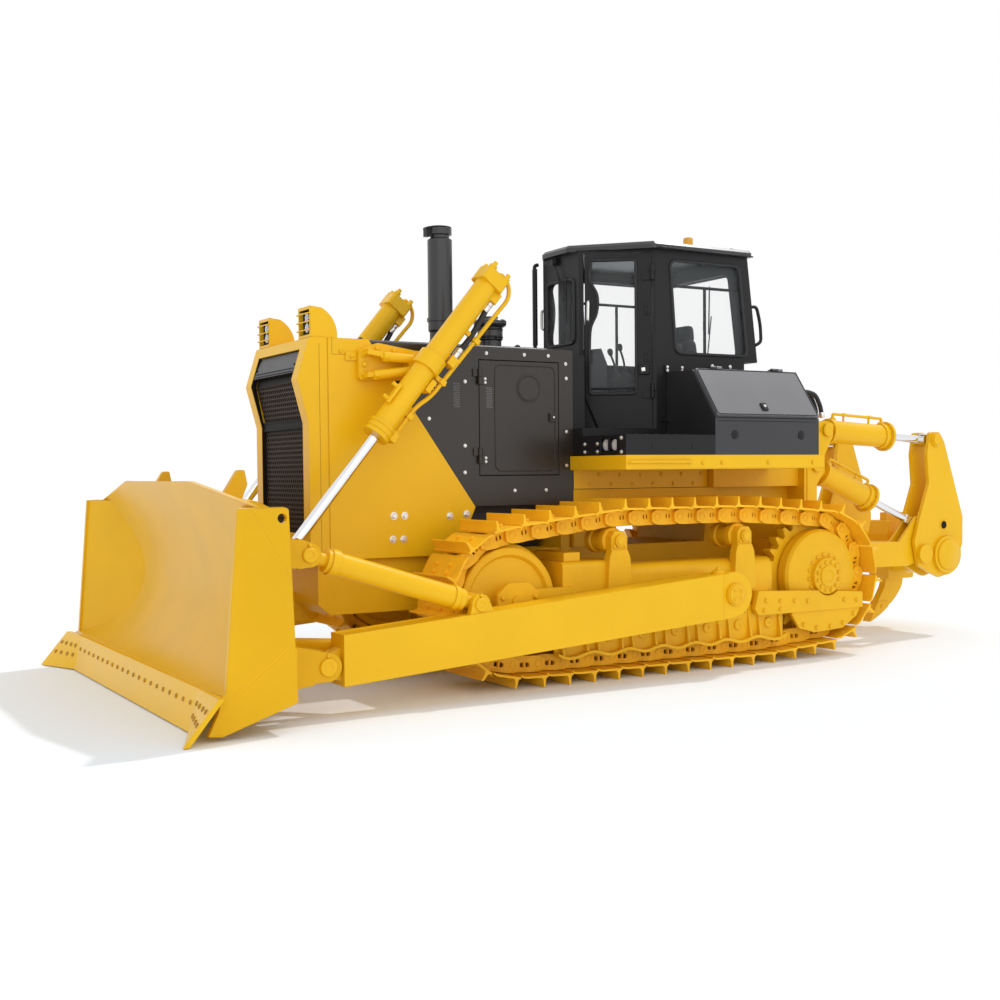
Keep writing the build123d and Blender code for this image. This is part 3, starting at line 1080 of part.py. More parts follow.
# Ripper cylinders: one pair lifts the arms, one pair tips the frame
def cylinder_barrel(front, rear, y, length, start):
    first = along(front, rear, start)
    last = along(front, rear, length)
    disc(*front, RIPPER_EYE_R, y - EYE_HALF, y + EYE_HALF)
    bar(at_y(along(front, rear, 40), y), at_y(first, y), EYE_HALF)
    bar(at_y(first, y), at_y(last, y), RIPPER_BARREL_R)
    bar(at_y(first, y), at_y(along(front, rear, start + 45), y), RIPPER_BARREL_R + 12)
    bar(at_y(along(front, rear, length - 90), y), at_y(last, y), RIPPER_BARREL_R + 12)
    bar(at_y(along(front, rear, length - 30), y), at_y(last, y), RIPPER_BARREL_R + 34)
    bar(at_y(along(front, rear, start + 25), y), at_y(last, y), RIPPER_ROD_R + ROD_GAP, mode=Mode.SUBTRACT)
    disc(*front, RIPPER_PIN_R + PIN_GAP, y - EYE_HALF - 5, y + EYE_HALF + 5, mode=Mode.SUBTRACT)


def cylinder_rod(front, rear, y, length, neck, half, eye):
    # A rod whose last stretch, the neck, is a flat tongue with a round eye.
    span = hypot(rear[0] - front[0], rear[1] - front[1])
    bar(at_y(along(front, rear, span - length), y), at_y(along(front, rear, span - neck), y), RIPPER_ROD_R)
    root = along(front, rear, span - neck - 30)
    side = ((rear[1] - front[1]) / span * eye * 0.7, (front[0] - rear[0]) / span * eye * 0.7)
    tongue = ((root[0] + side[0], root[1] + side[1]), (rear[0] + side[0], rear[1] + side[1]))
    tongue += ((rear[0] - side[0], rear[1] - side[1]), (root[0] - side[0], root[1] - side[1]))
    slab(tongue, y - half, y + half)
    disc(*rear, eye, y - half, y + half)


with BuildPart() as ripper_lift_barrels:
    for side in (1, -1):
        cylinder_barrel(RIPPER_LIFT_FRONT, RIPPER_LIFT_REAR, side * RIPPER_Y, 850.0, 175.0)
with BuildPart() as ripper_lift_rods:
    for side in (1, -1):
        eye_half = EYE_HALF - ROD_LUG - 6
        cylinder_rod(RIPPER_LIFT_FRONT, RIPPER_LIFT_REAR, side * RIPPER_Y, 980.0, 120.0, eye_half, 58.0)
with BuildPart() as ripper_pitch_barrels:
    for side in (1, -1):
        cylinder_barrel(RIPPER_TOP_FRONT, RIPPER_TOP_REAR, side * RIPPER_Y, 885.0, 115.0)
with BuildPart() as ripper_pitch_rods:
    for side in (1, -1):
        cylinder_rod(RIPPER_TOP_FRONT, RIPPER_TOP_REAR, side * RIPPER_Y, 1000.0, 80.0, EYE_HALF, 66.0)

# Each piece is moved to the frame whose origin is under the middle of the machine
pieces = {
    "track_left": track_left, "track_right": track_right, "sprockets": sprockets,
    "final_drives": final_drives, "idlers": idlers, "track_rollers": track_rollers,
    "carrier_rollers": carrier_rollers, "track_frame_left": track_frame_left,
    "track_frame_right": track_frame_right, "main_frame": main_frame, "engine": engine,
    "radiator_guard": radiator_guard, "grille": grille, "hood": hood,
    "engine_door_left": engine_door_left, "engine_door_right": engine_door_right,
    "exhaust_stack": exhaust_stack, "air_precleaner": air_precleaner, "headlamps": headlamps,
    "lift_yokes": lift_yokes, "fenders": fenders, "steps": steps, "cab_base": cab_base,
    "fuel_tank": fuel_tank, "service_boxes": service_boxes, "box_lid_left": box_lid_left,
    "box_lid_right": box_lid_right, "cab_frame": cab_frame, "cab_roof": cab_roof,
    "cab_glass": cab_glass, "cab_door_left": cab_door_left, "cab_door_right": cab_door_right,
    "door_glass_left": door_glass_left, "door_glass_right": door_glass_right, "seat": seat,
    "console": console, "blade": blade, "cutting_edge": cutting_edge,
    "push_arm_left": push_arm_left, "push_arm_right": push_arm_right, "brace_left": brace_left,
    "tilt_cylinder": tilt_cylinder, "lift_barrels": lift_barrels, "lift_rods": lift_rods,
    "ripper_bracket": ripper_bracket, "ripper_arm": ripper_arm, "ripper_frame": ripper_frame,
    "ripper_pins": ripper_pins, "ripper_shank": ripper_shank,
    "ripper_lift_barrels": ripper_lift_barrels, "ripper_lift_rods": ripper_lift_rods,
    "ripper_pitch_barrels": ripper_pitch_barrels, "ripper_pitch_rods": ripper_pitch_rods,
}
for name, piece in pieces.items():
    placed = piece.part.moved(Location((-ORIGIN_X, 0, 0)))
    placed.label = name
    export_step(placed, f"parts/{name}.step")
    box = placed.bounding_box()
    print(f"{name}: {len(placed.solids())} solids, {box.min} to {box.max}")
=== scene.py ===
# %% [markdown]
# # A crawler bulldozer, dressed for its portrait
# The solid frame of the machine is loaded first. It fixes every size and every joint, so this lesson
# only adds what the eye wants on top: paint, glass, bolts, hoses, track links and the small fittings
# that a person standing one step away would miss if they were gone.

# %% Load the frame
from math import cos, dist, exp, pi, radians, sin, sqrt

import bmesh
import bpy
from mathutils import Matrix, Vector


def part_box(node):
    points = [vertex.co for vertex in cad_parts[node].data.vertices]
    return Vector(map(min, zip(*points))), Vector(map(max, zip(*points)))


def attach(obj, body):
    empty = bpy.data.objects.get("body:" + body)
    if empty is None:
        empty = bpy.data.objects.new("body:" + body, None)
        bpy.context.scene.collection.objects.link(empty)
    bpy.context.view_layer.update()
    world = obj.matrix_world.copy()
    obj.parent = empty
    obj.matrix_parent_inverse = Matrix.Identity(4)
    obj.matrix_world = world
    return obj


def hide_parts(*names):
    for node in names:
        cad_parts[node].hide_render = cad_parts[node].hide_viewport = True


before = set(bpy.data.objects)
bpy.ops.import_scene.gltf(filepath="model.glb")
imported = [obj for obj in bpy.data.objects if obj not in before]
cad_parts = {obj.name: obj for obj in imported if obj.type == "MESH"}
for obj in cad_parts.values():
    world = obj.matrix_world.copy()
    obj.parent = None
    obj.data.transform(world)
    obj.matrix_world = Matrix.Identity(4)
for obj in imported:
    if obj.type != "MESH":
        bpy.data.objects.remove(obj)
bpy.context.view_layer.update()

# %% [markdown]
# Sizes below are written in millimetres, as stations on the real machine: X forward from the sprocket
# axle, Y to the left, Z up from the ground. The sprocket's own box tells where that axle lies, so one
# small helper turns a station into a point of the frame.

# %% Stations
axle_low, axle_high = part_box("sprockets")
AXLE_X = (axle_low.x + axle_high.x) / 2
OUTWARD, INWARD = (0, 1, 0), (0, -1, 0)
AHEAD, BEHIND = (1, 0, 0), (-1, 0, 0)
UP = (0, 0, 1)
SIDES = ((1, "left"), (-1, "right"))


def at(x, y, z):
    return Vector((AXLE_X + x / 1000, y / 1000, z / 1000))


print("sprocket axle at", round(AXLE_X, 4))

# %% [markdown]
# The portrait is taken from the front left, at the eye height of someone standing, with a normal lens.
# The camera is set by its own place and angles: the turn round the upright, the slight look down and a
# trace of roll, which is how a tripod stands.

# %% Camera
CAMERA_STATION = (8166.8, 9650.2, 1620.6)
CAMERA_TURN = radians(149.432)
CAMERA_DOWN = radians(2.268)
CAMERA_ROLL = radians(-0.534)
CAMERA_LENS = 47.04
CAMERA_SENSOR = 36
CAMERA_SHIFT = (-0.005, 0.025)
CAMERA_SIGHT = 400

camera_data = bpy.data.cameras.new("portrait_camera")
camera_data.lens = CAMERA_LENS
camera_data.sensor_width = CAMERA_SENSOR
camera_data.shift_x, camera_data.shift_y = CAMERA_SHIFT
camera_data.clip_end = CAMERA_SIGHT
camera = bpy.data.objects.new("portrait_camera", camera_data)
scene = bpy.context.scene
scene.collection.objects.link(camera)
camera.matrix_world = (
    Matrix.Translation(at(*CAMERA_STATION))
    @ Matrix.Rotation(CAMERA_TURN, 4, "Z")
    @ Matrix.Rotation(pi / 2 - CAMERA_DOWN, 4, "X")
    @ Matrix.Rotation(CAMERA_ROLL, 4, "Z")
)
scene.camera = camera
print("camera at", camera.matrix_world.translation)

# %% [markdown]
# The machine stands on a white yard under a pale, bright sky, with a weak sun from behind. Most light
# comes from the sky and back from the floor, and a broad soft lamp fills the near side, so that side
# glows evenly and the sun only draws the light grey shadow ahead of the blade. Two helpers put the
# nodes of the sky, and later of every paint, together.

# %% Light
SKY_STRENGTH = 0.85
SUN_STRENGTH = 1.0
SUN_SOFTNESS = radians(2)
SUN_FROM = Vector((-0.70, -0.16, 1.0))
FILL_STRENGTH = 0.70
FILL_SOFTNESS = radians(80)
FILL_FROM = Vector((0.15, 1.0, 0.22))
scene.view_settings.view_transform = "Standard"


def feed(tree, node, inputs):
    # Sets the inputs of a node, by a link where a socket is given and by value elsewhere.
    for name, value in inputs.items():
        if isinstance(value, bpy.types.NodeSocket):
            tree.links.new(value, node.inputs[name])
        else:
            node.inputs[name].default_value = value


def add(tree, kind, inputs):
    node = tree.nodes.new(kind)
    feed(tree, node, inputs)
    return node


def either(tree, one, other):
    node = add(tree, "ShaderNodeMath", {0: one, 1: other})
    node.operation = "MAXIMUM"
    return node.outputs[0]


def white_where_seen(tree, strength):
    # One where the camera, a mirror or a window looks, and the given strength for all other light.
    ray = add(tree, "ShaderNodeLightPath", {}).outputs
    seen = either(tree, ray["Is Camera Ray"], ray["Is Glossy Ray"])
    seen = either(tree, seen, ray["Is Transmission Ray"])
    level = add(tree, "ShaderNodeMapRange", {"Value": seen, "To Min": strength, "To Max": 1.0})
    return level.outputs["Result"]


world = bpy.data.worlds.new("studio_world")
scene.world = world
world.use_nodes = True
sky = world.node_tree
feed(sky, sky.nodes["Background"], {"Color": (1, 1, 1, 1), "Strength": white_where_seen(sky, SKY_STRENGTH)})


def distant_lamp(name, strength, softness, source):
    lamp = bpy.data.lights.new(name, "SUN")
    lamp.energy = strength
    lamp.angle = softness
    lamp_object = bpy.data.objects.new(name, lamp)
    scene.collection.objects.link(lamp_object)
    lamp_object.rotation_euler = source.to_track_quat("Z", "Y").to_euler()


distant_lamp("yard_sun", SUN_STRENGTH, SUN_SOFTNESS, SUN_FROM)
distant_lamp("side_fill", FILL_STRENGTH, FILL_SOFTNESS, FILL_FROM)
print("sun from", SUN_FROM.normalized())

# %% [markdown]
# The floor's white leans a little to blue. That takes up the warm light which so much yellow paint
# throws down, and leaves the shadow grey.

# %% Floor
FLOOR_HALF = 120.0
FLOOR_WHITE = (0.885, 0.935, 0.985, 1)
floor_mesh = bpy.data.meshes.new("studio_floor")
floor_corners = [(x * FLOOR_HALF, y * FLOOR_HALF, 0) for x, y in ((-1, -1), (1, -1), (1, 1), (-1, 1))]
floor_mesh.from_pydata(floor_corners, [], [(0, 1, 2, 3)])
floor = bpy.data.objects.new("studio_floor", floor_mesh)
scene.collection.objects.link(floor)
floor_paint = bpy.data.materials.new("studio_floor_paint")
floor_paint.use_nodes = True
floor_look = {"Base Color": FLOOR_WHITE, "Roughness": 0.9, "Specular IOR Level": 0.0}
feed(floor_paint.node_tree, floor_paint.node_tree.nodes["Principled BSDF"], floor_look)
floor_mesh.materials.append(floor_paint)
print("yard ready")

# %% [markdown]
# The yellow is a sprayed enamel. Up close it has a faint orange-peel ripple, tiny shifts of tone and
# softer gloss where dust settles. One function mixes such a paint from its colour and gloss, and the
# black enamel, the cast iron and the track paint come from the same function with other numbers.

# %% Enamel and iron
TONE_SIZE = 1.7
TONE_BAND = (0.3, 0.7)
GLOSS_BAND = (0.8, 1.25)
GRIME_SIZE = 9.0
GRIME_BAND = (0.48, 0.75)
GRIME_COLOR = (0.20, 0.12, 0.05, 1)
PEEL_DEPTH = 0.002
COAT_ROUGHNESS = 0.12


def new_finish(name):
    # A bare material with its node tree, its surface and the place on the object that a grain follows.
    material = bpy.data.materials.new(name)
    material.use_nodes = True
    tree = material.node_tree
    place = add(tree, "ShaderNodeTexCoord", {}).outputs["Object"]
    return material, tree, tree.nodes["Principled BSDF"], place


def grain(tree, place, size, detail):
    return add(tree, "ShaderNodeTexNoise", {"Scale": size, "Detail": detail, "Vector": place}).outputs["Fac"]


def spread(tree, value, low, high):
    return add(tree, "ShaderNodeMapRange", {"Value": value, "To Min": low, "To Max": high})


def two_tones(tree, value, dark, light):
    ramp = add(tree, "ShaderNodeValToRGB", {"Fac": value})
    ramp.color_ramp.elements[0].color = (*dark, 1)
    ramp.color_ramp.elements[1].color = (*light, 1)
    return ramp


def paint(name, color, roughness, metallic=0.0, tone=0.06, ripple=0.02, ripple_size=220.0,
          shine=0.5, coat=0.0, dust=0.0, edge=0.0):
    material, tree, surface, place = new_finish(name)
    broad = grain(tree, place, TONE_SIZE, 5.0)
    tones = two_tones(tree, broad, [c * (1 - tone) for c in color], [min(1, c * (1 + tone)) for c in color])
    for stop, position in zip(tones.color_ramp.elements, TONE_BAND):
        stop.position = position
    tinted = tones.outputs["Color"]
    if dust:
        amount = spread(tree, grain(tree, place, GRIME_SIZE, 8.0), 0.0, dust)
        feed(tree, amount, {"From Min": GRIME_BAND[0], "From Max": GRIME_BAND[1]})
        mixed = add(tree, "ShaderNodeMix", {})
        mixed.data_type = "RGBA"
        feed(tree, mixed, {"Factor": amount.outputs["Result"], "A": tinted, "B": GRIME_COLOR})
        tinted = mixed.outputs["Result"]
    gloss = spread(tree, broad, roughness * GLOSS_BAND[0], min(1.0, roughness * GLOSS_BAND[1]))
    peel = grain(tree, place, ripple_size, 2.0)
    bump = add(tree, "ShaderNodeBump", {"Strength": ripple, "Distance": PEEL_DEPTH, "Height": peel})
    if edge:
        rounded = add(tree, "ShaderNodeBevel", {"Radius": edge})
        rounded.samples = 4
        feed(tree, bump, {"Normal": rounded.outputs["Normal"]})
    feed(tree, surface, {
        "Base Color": tinted,
        "Roughness": gloss.outputs["Result"],
        "Metallic": metallic,
        "Specular IOR Level": shine,
        "Normal": bump.outputs["Normal"],
    })
    if coat:
        feed(tree, surface, {"Coat Weight": coat, "Coat Roughness": COAT_ROUGHNESS})
    return material


yellow_enamel = paint("yellow_enamel", (0.85, 0.485, 0.006), 0.32, tone=0.03, shine=0.22,
                      coat=0.05, edge=0.006)
# The blade wears the same yellow enamel as the body; this deeper copy paints the shade on the blade's front.
blade_enamel_painted_shade = paint("blade_enamel_painted_shade", (0.77, 0.425, 0.006), 0.24, tone=0.045, shine=0.16,
                     edge=0.006)
black_enamel = paint("black_enamel", (0.013, 0.012, 0.013), 0.40, tone=0.12, ripple=0.05,
                     ripple_size=400, shine=0.24, edge=0.005)
satin_black = paint("satin_black", (0.022, 0.021, 0.023), 0.32, tone=0.10, shine=0.6,
                    edge=0.005)
hood_black = paint("hood_black", (0.024, 0.018, 0.013), 0.32, tone=0.10, shine=0.5,
                   edge=0.005)
# The lids are dark grey metal; their grey is also raised to paint the sky's reflection on the upward slope.
lid_grey_and_sheen = paint("lid_grey_and_sheen", (0.098, 0.098, 0.104), 0.30, tone=0.08, shine=1.0, coat=0.6,
                 edge=0.005)
track_paint = paint("track_paint", (0.95, 0.51, 0.014), 0.48, tone=0.07, ripple=0.08,
                    ripple_size=90, shine=0.25, dust=0.12)
frame_paint = paint("frame_paint", (0.84, 0.465, 0.007), 0.42, tone=0.05, shine=0.25,
                    dust=0.05, edge=0.005)
engine_iron = paint("engine_iron", (0.05, 0.05, 0.05), 0.6, tone=0.2, ripple=0.3,
                    ripple_size=60)
# Black for the grille; it also paints the shade in lamp boxes, header slots, mouth sides and lock bores.
mesh_black_and_shade = paint("mesh_black_and_shade", (0.008, 0.006, 0.005), 0.55, tone=0.2, ripple=0.1,
                   shine=0.15)
wire_brown = paint("wire_brown", (0.034, 0.020, 0.012), 0.5, tone=0.2, ripple=0.1,
                   shine=0.2)
header_grey = paint("header_grey", (0.045, 0.045, 0.050), 0.42, tone=0.08, ripple=0.05,
                    ripple_size=400)
vent_grey = paint("vent_grey", (0.16, 0.16, 0.165), 0.5, tone=0.1)
seam_brown = paint("seam_brown", (0.42, 0.19, 0.004), 0.6, tone=0.1)
# The cutting-edge bolt heads are yellow like the blade; this brown paints the shade round each head.
bolt_shade_brown = paint("bolt_shade_brown", (0.42, 0.21, 0.012), 0.5, tone=0.15, ripple=0.1)
zinc_plate = paint("zinc_plate", (0.78, 0.77, 0.74), 0.30, metallic=0.9, tone=0.08,
                   ripple=0.04)
rod_chrome = paint("rod_chrome", (0.80, 0.80, 0.81), 0.12, metallic=1.0, tone=0.03,
                   ripple=0.005)
lamp_bowl = paint("lamp_bowl", (0.86, 0.86, 0.87), 0.10, metallic=1.0, tone=0.02,
                  ripple=0.01)
hose_rubber = paint("hose_rubber", (0.012, 0.012, 0.013), 0.55, tone=0.2, ripple=0.15,
                    ripple_size=600)
cab_plastic = paint("cab_plastic", (0.035, 0.035, 0.037), 0.6, tone=0.1, ripple=0.05,
                    ripple_size=500)
seat_cloth = paint("seat_cloth", (0.030, 0.030, 0.033), 0.85, tone=0.15, ripple=0.5,
                   ripple_size=700)

# %% [markdown]
# Window glass is thin and slightly grey. A transparent pane with a mirror-like skin renders cleanly
# from both sides and lets the seat and the far windows show through. The lamps and the beacon take the
# same recipe with a stronger tint.

# %% Glass
GLASS_ROUGHNESS = 0.03
GLASS_BENDING = 1.45
SMEAR_SIZE = 2.5


def glass(name, tint, density):
    material, tree, surface, place = new_finish(name)
    smear = grain(tree, place, SMEAR_SIZE, 3.0)
    shade = two_tones(tree, smear, [c * 0.92 for c in tint], tint)
    feed(tree, surface, {
        "Base Color": shade.outputs["Color"],
        "Alpha": spread(tree, smear, density * 0.9, density * 1.1).outputs["Result"],
        "Roughness": GLASS_ROUGHNESS,
        "IOR": GLASS_BENDING,
    })
    return material


window_glass = glass("window_glass", (0.62, 0.66, 0.67), 0.045)
lamp_glass = glass("lamp_glass", (0.80, 0.83, 0.85), 0.35)
amber_glass = glass("amber_glass", (0.98, 0.46, 0.01), 0.85)
print("glass mixed")

# %% [markdown]
# Each solid that already has its right shape keeps it and only takes a paint. A short list says which
# paint goes on which solid; everything not named wears the yellow enamel.

# %% Paint the solids
WEARS = {
    black_enamel: ["steps", "cab_base", "cab_frame", "cab_door_left", "cab_door_right"],
    satin_black: ["exhaust_stack", "air_precleaner", "fuel_tank", "service_boxes", "cab_roof"],
    hood_black: ["hood", "engine_door_left", "engine_door_right"],
    blade_enamel_painted_shade: ["blade"],
    lid_grey_and_sheen: ["box_lid_left", "box_lid_right"],
    track_paint: ["track_left", "track_right"],
    frame_paint: ["track_frame_left", "track_frame_right", "main_frame", "idlers", "sprockets",
                  "track_rollers", "carrier_rollers", "final_drives"],
    engine_iron: ["engine"],
    mesh_black_and_shade: ["grille"],
    window_glass: ["cab_glass", "door_glass_left", "door_glass_right"],
    rod_chrome: ["lift_rods", "ripper_lift_rods", "ripper_pitch_rods"],
    cab_plastic: ["console", "seat"],
}
paint_of = {node: material for material, names in WEARS.items() for node in names}
for node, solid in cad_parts.items():
    solid.data.materials.clear()
    solid.data.materials.append(paint_of.get(node, yellow_enamel))
print("solids painted:", len(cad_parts))

# %% [markdown]
# Most fittings on such a machine are turned, sawn from plate or bent from tube, so the shop needs only
# those three ways of making a shape, a hexagon bolt, and a mirror for what both sides share. Every
# shape is drawn in stations and stays on one bench until the piece is whole.

# %% Shop tools
SMALLEST_RADIUS = 0.2
SHARP_ANGLE = radians(35)
SOFT_ANGLE = radians(40)
bench = bmesh.new()


def loft(rings, closed=False, ends=True):
    # Joins rings of stations into a tube, with flat ends unless it closes on itself or is left open.
    rings = [[bench.verts.new(at(*spot)) for spot in ring] for ring in rings]
    following = rings[1:] + rings[:1] if closed else rings[1:]
    for ring, other in zip(rings, following):
        for i in range(len(ring)):
            j = (i + 1) % len(ring)
            bench.faces.new((ring[i], ring[j], other[j], other[i]))
    if ends and not closed:
        bench.faces.new(rings[0][::-1])
        bench.faces.new(rings[-1])


def circle(middle, across, up, radius, count, start=0.0):
    angles = [start + 2 * pi * i / count for i in range(count)]
    return [Vector(middle) + (Vector(across) * cos(a) + Vector(up) * sin(a)) * radius for a in angles]


def around(middle, axis, radius, count, start=0.0):
    # Points on a circle round an axis.
    axis = Vector(axis).normalized()
    across = axis.orthogonal().normalized()
    return circle(middle, across, axis.cross(across), radius, count, start)


def turned(place, axis, profile, sides):
    # A round piece from pairs of radius and distance along its axis.
    way = Vector(axis).normalized()
    loft([around(Vector(place) + way * d, axis, max(r, SMALLEST_RADIUS), sides) for r, d in profile])


def plate(outline, along, low, high):
    # A flat side view or front view given thickness along the axis that it leaves out.
    loft([[(w, u, v) if along == "x" else (u, w, v) for u, v in outline] for w in (low, high)])


def block(x, y, z):
    plate(((x[0], z[0]), (x[1], z[0]), (x[1], z[1]), (x[0], z[1])), "y", *sorted(y))


def bolt(place, axis, size):
    # A washer and a hexagon head with its crown turned down.
    head = ((size * 0.58, size * 0.1), (size * 0.58, size * 0.5), (size * 0.46, size * 0.62))
    turned(place, axis, ((size * 0.80, 0), (size * 0.80, size * 0.12)), 16)
    turned(place, axis, head, 6)


def side_bolts(y, size, *spots):
    # Bolts on a face that looks outward, at places along the machine and up.
    for x, z in spots:
        bolt((x, y, z), OUTWARD, size)


def bolt_ring(place, axis, radius, count, size, start=0.0):
    for spot in around(place, axis, radius, count, start):
        bolt(spot, axis, size)


def cornered(points, bend, closed=False, steps=5):
    # A route with its corners rounded, as a tube bender leaves them.
    points = [Vector(p) for p in points]
    count = len(points)
    path = []
    for i, corner in enumerate(points):
        if not closed and i in (0, count - 1):
            path.append(corner)
            continue
        into = points[i - 1] - corner
        out = points[(i + 1) % count] - corner
        reach = min(bend, into.length * 0.49, out.length * 0.49)
        start = corner + into.normalized() * reach
        end = corner + out.normalized() * reach
        for k in range(steps + 1):
            t = k / steps
            path.append(start * (1 - t) ** 2 + corner * (2 * t * (1 - t)) + end * t ** 2)
    return path


def flowing(points, steps=8):
    # A smooth route through its points, as a hose hangs.
    points = [Vector(p) for p in points]
    padded = [points[0] * 2 - points[1], *points, points[-1] * 2 - points[-2]]
    path = []
    for a, b, c, d in zip(padded, padded[1:], padded[2:], padded[3:]):
        for k in range(steps):
            t = k / steps
            path.append(
                b + (c - a) * (t / 2)
                + (a * 2 - b * 5 + c * 4 - d) * (t * t / 2)
                + (b * 3 - a - c * 3 + d) * (t ** 3 / 2)
            )
    path.append(points[-1])
    return path


def tube(path, radius, sides, closed=False):
    # A round tube swept along a route.
    path = [Vector(spot) for spot in path]
    count = len(path)
    rings = []
    across = None
    for i, spot in enumerate(path):
        if closed:
            ahead = path[(i + 1) % count] - path[i - 1]
        else:
            ahead = path[min(i + 1, count - 1)] - path[max(i - 1, 0)]
        ahead = ahead.normalized()
        if across is None:
            across = ahead.orthogonal()
        across = (across - ahead * across.dot(ahead)).normalized()
        rings.append(circle(spot, across, ahead.cross(across), radius, sides))
    loft(rings, closed)


def hoop(corners, bend, radius, sides):
    # A closed tube with rounded corners, such as a gasket.
    tube(cornered(corners, bend, closed=True), radius, sides, closed=True)


def both_sides():
    # Repeats everything on the bench on the other side of the machine.
    copy = bmesh.ops.duplicate(bench, geom=bench.verts[:] + bench.edges[:] + bench.faces[:])
    for item in copy["geom"]:
        if isinstance(item, bmesh.types.BMVert):
            item.co.y = -item.co.y


def piece(name, finish, body="chassis", rounding=0.0):
    # Takes the shape off the bench as a piece that rides on its body, with soft edges if asked.
    bmesh.ops.recalc_face_normals(bench, faces=bench.faces[:])
    mesh = bpy.data.meshes.new(name)
    bench.to_mesh(mesh)
    bench.clear()
    mesh.materials.append(finish)
    mesh.shade_smooth()
    mesh.set_sharp_from_angle(angle=SHARP_ANGLE)
    thing = bpy.data.objects.new(name, mesh)
    scene.collection.objects.link(thing)
    if rounding:
        soft_edge = thing.modifiers.new("soft_edge", "BEVEL")
        soft_edge.width = rounding / 1000
        soft_edge.segments = 2
        soft_edge.limit_method = "ANGLE"
        soft_edge.angle_limit = SOFT_ANGLE
    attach(thing, body)
    return thing


def pair(name, finish, body="chassis", rounding=0.0):
    # A piece that is the same on both sides.
    both_sides()
    piece(name, finish, body, rounding)


print("shop open")

# %% [markdown]
# A crawler track is a chain of forged links under bolted steel shoes. Each shoe is a rolled plate with
# one tall bar across it that bites the ground and a lip that laps over its neighbour. Under it run two
# rows of links, stepped sideways so that one end fits inside the next, with a window that a post splits
# in two and a pin through each joint. One link is made as a pattern and then set down along the pin
# line, which is the tight loop round the sprocket, the carrier rollers, the idler and the track rollers.

# %% The pin line of a track
TRACK_Y = 1070.0
SHOE_COUNT = 41
SHOE_HALF = 280.0
PIN_HEIGHT = 160.0
GROUSER_TOP = 160.0
WHEELS = ((0.0, 703.0, 491.0), (3150.0, 655.0, 488.6))
WHEEL_POINTS = 720
CARRIER_PINS = ((905.0, 1255.0), (2185.0, 1255.0))
ROLLER_XS = [640.0 + 330.0 * i for i in range(7)]


def pin_line():
    cloud = [*CARRIER_PINS, (ROLLER_XS[0], PIN_HEIGHT), (ROLLER_XS[-1], PIN_HEIGHT)]
    for x, z, radius in WHEELS:
        for i in range(WHEEL_POINTS):
            angle = i * 2 * pi / WHEEL_POINTS
            cloud.append((x + radius * cos(angle), z + radius * sin(angle)))
    cloud = sorted(set(cloud))

    def half_hull(points):
        chain = []
        for p in points:
            while len(chain) > 1 and (
                (chain[-1][0] - chain[-2][0]) * (p[1] - chain[-2][1])
                <= (chain[-1][1] - chain[-2][1]) * (p[0] - chain[-2][0])
            ):
                chain.pop()
            chain.append(p)
        return chain[:-1]

    return half_hull(cloud) + half_hull(cloud[::-1])


def between(a, b, share):
    return [p + (q - p) * share for p, q in zip(a, b)]


def chain_pins():
    loop = pin_line()
    loop.append(loop[0])
    spans = [dist(a, b) for a, b in zip(loop, loop[1:])]
    step = sum(spans) / SHOE_COUNT
    pins = []
    reached = 0.0
    for a, b, span in zip(loop, loop[1:], spans):
        while len(pins) < SHOE_COUNT and len(pins) * step <= reached + span:
            pins.append(between(a, b, (len(pins) * step - reached) / span))
        reached += span
    return pins


track_pins = chain_pins()
PITCH = dist(track_pins[3], track_pins[4])
print("track pins", len(track_pins), "pitch", round(PITCH, 1))

# %% One link and its shoe
LINK_THICK = 15.0
LINK_MIDDLE_Y = 100.0
LINK_HALF_HEIGHT = 63.0
LINK_OVERHANG = 56
LINK_STEP_LENGTH = 34
LINK_POINTS = 28


def swollen_oval(middle, half_long, half_high, power):
    # A closed outline between an ellipse and a rectangle.
    outline = []
    for i in range(LINK_POINTS):
        angle = 2 * pi * i / LINK_POINTS
        c, s = cos(angle), sin(angle)
        reach = (abs(c / half_long) ** power + abs(s / half_high) ** power) ** (-1 / power)
        outline.append((middle[0] + reach * c, middle[1] + reach * s))
    return outline


def link_bar(side):
    # A link plate with a window, its front end stepped inward so that it fits inside the next one.
    outer = swollen_oval((PITCH / 2, 0), PITCH / 2 + LINK_OVERHANG, LINK_HALF_HEIGHT, 4.5)
    window = swollen_oval((PITCH / 2, 6), 34, 19, 4.0)
    loops = []
    for outline, face in ((outer, -1), (outer, 1), (window, 1), (window, -1)):
        loop = []
        for t, n in outline:
            step = max(-1.0, min(1.0, (PITCH / 2 - t) / LINK_STEP_LENGTH)) * (LINK_THICK + 1)
            loop.append((t, side * (LINK_MIDDLE_Y + step + face * LINK_THICK), n))
        loops.append(loop)
    loft(loops, closed=True)


def shoe_and_links():
    tail = PITCH + 14
    section = [(2, 85), (16, 86), (24, 104), (29, GROUSER_TOP - 3), (33, GROUSER_TOP)]
    section += [(39, GROUSER_TOP), (43, GROUSER_TOP - 3), (48, 104), (62, 87), (PITCH - 34, 84)]
    section += [(PITCH - 6, 78), (tail, 64), (tail - 4, 55), (PITCH - 10, 66), (PITCH - 38, 70), (2, 70)]
    plate(section, "y", -SHOE_HALF, SHOE_HALF)
    for side in (1, -1):
        link_bar(side)
        post = (side * (LINK_MIDDLE_Y - LINK_THICK), side * (LINK_MIDDLE_Y + LINK_THICK))
        block((PITCH / 2 - 8, PITCH / 2 + 8), post, (-16, 28))
        for t in (92, 158):
            turned((t, side * (LINK_MIDDLE_Y + 2), 84), UP, ((19, 0), (19, 16), (15, 20)), 6)


def joint_pins():
    turned((0, -70, 0), OUTWARD, ((37, 0), (37, 140)), 16)
    for side in (1, -1):
        turned((0, side * 128, 0), (0, side, 0), ((30, 0), (30, 6), (26, 8), (26, 5), (0, 5)), 16)


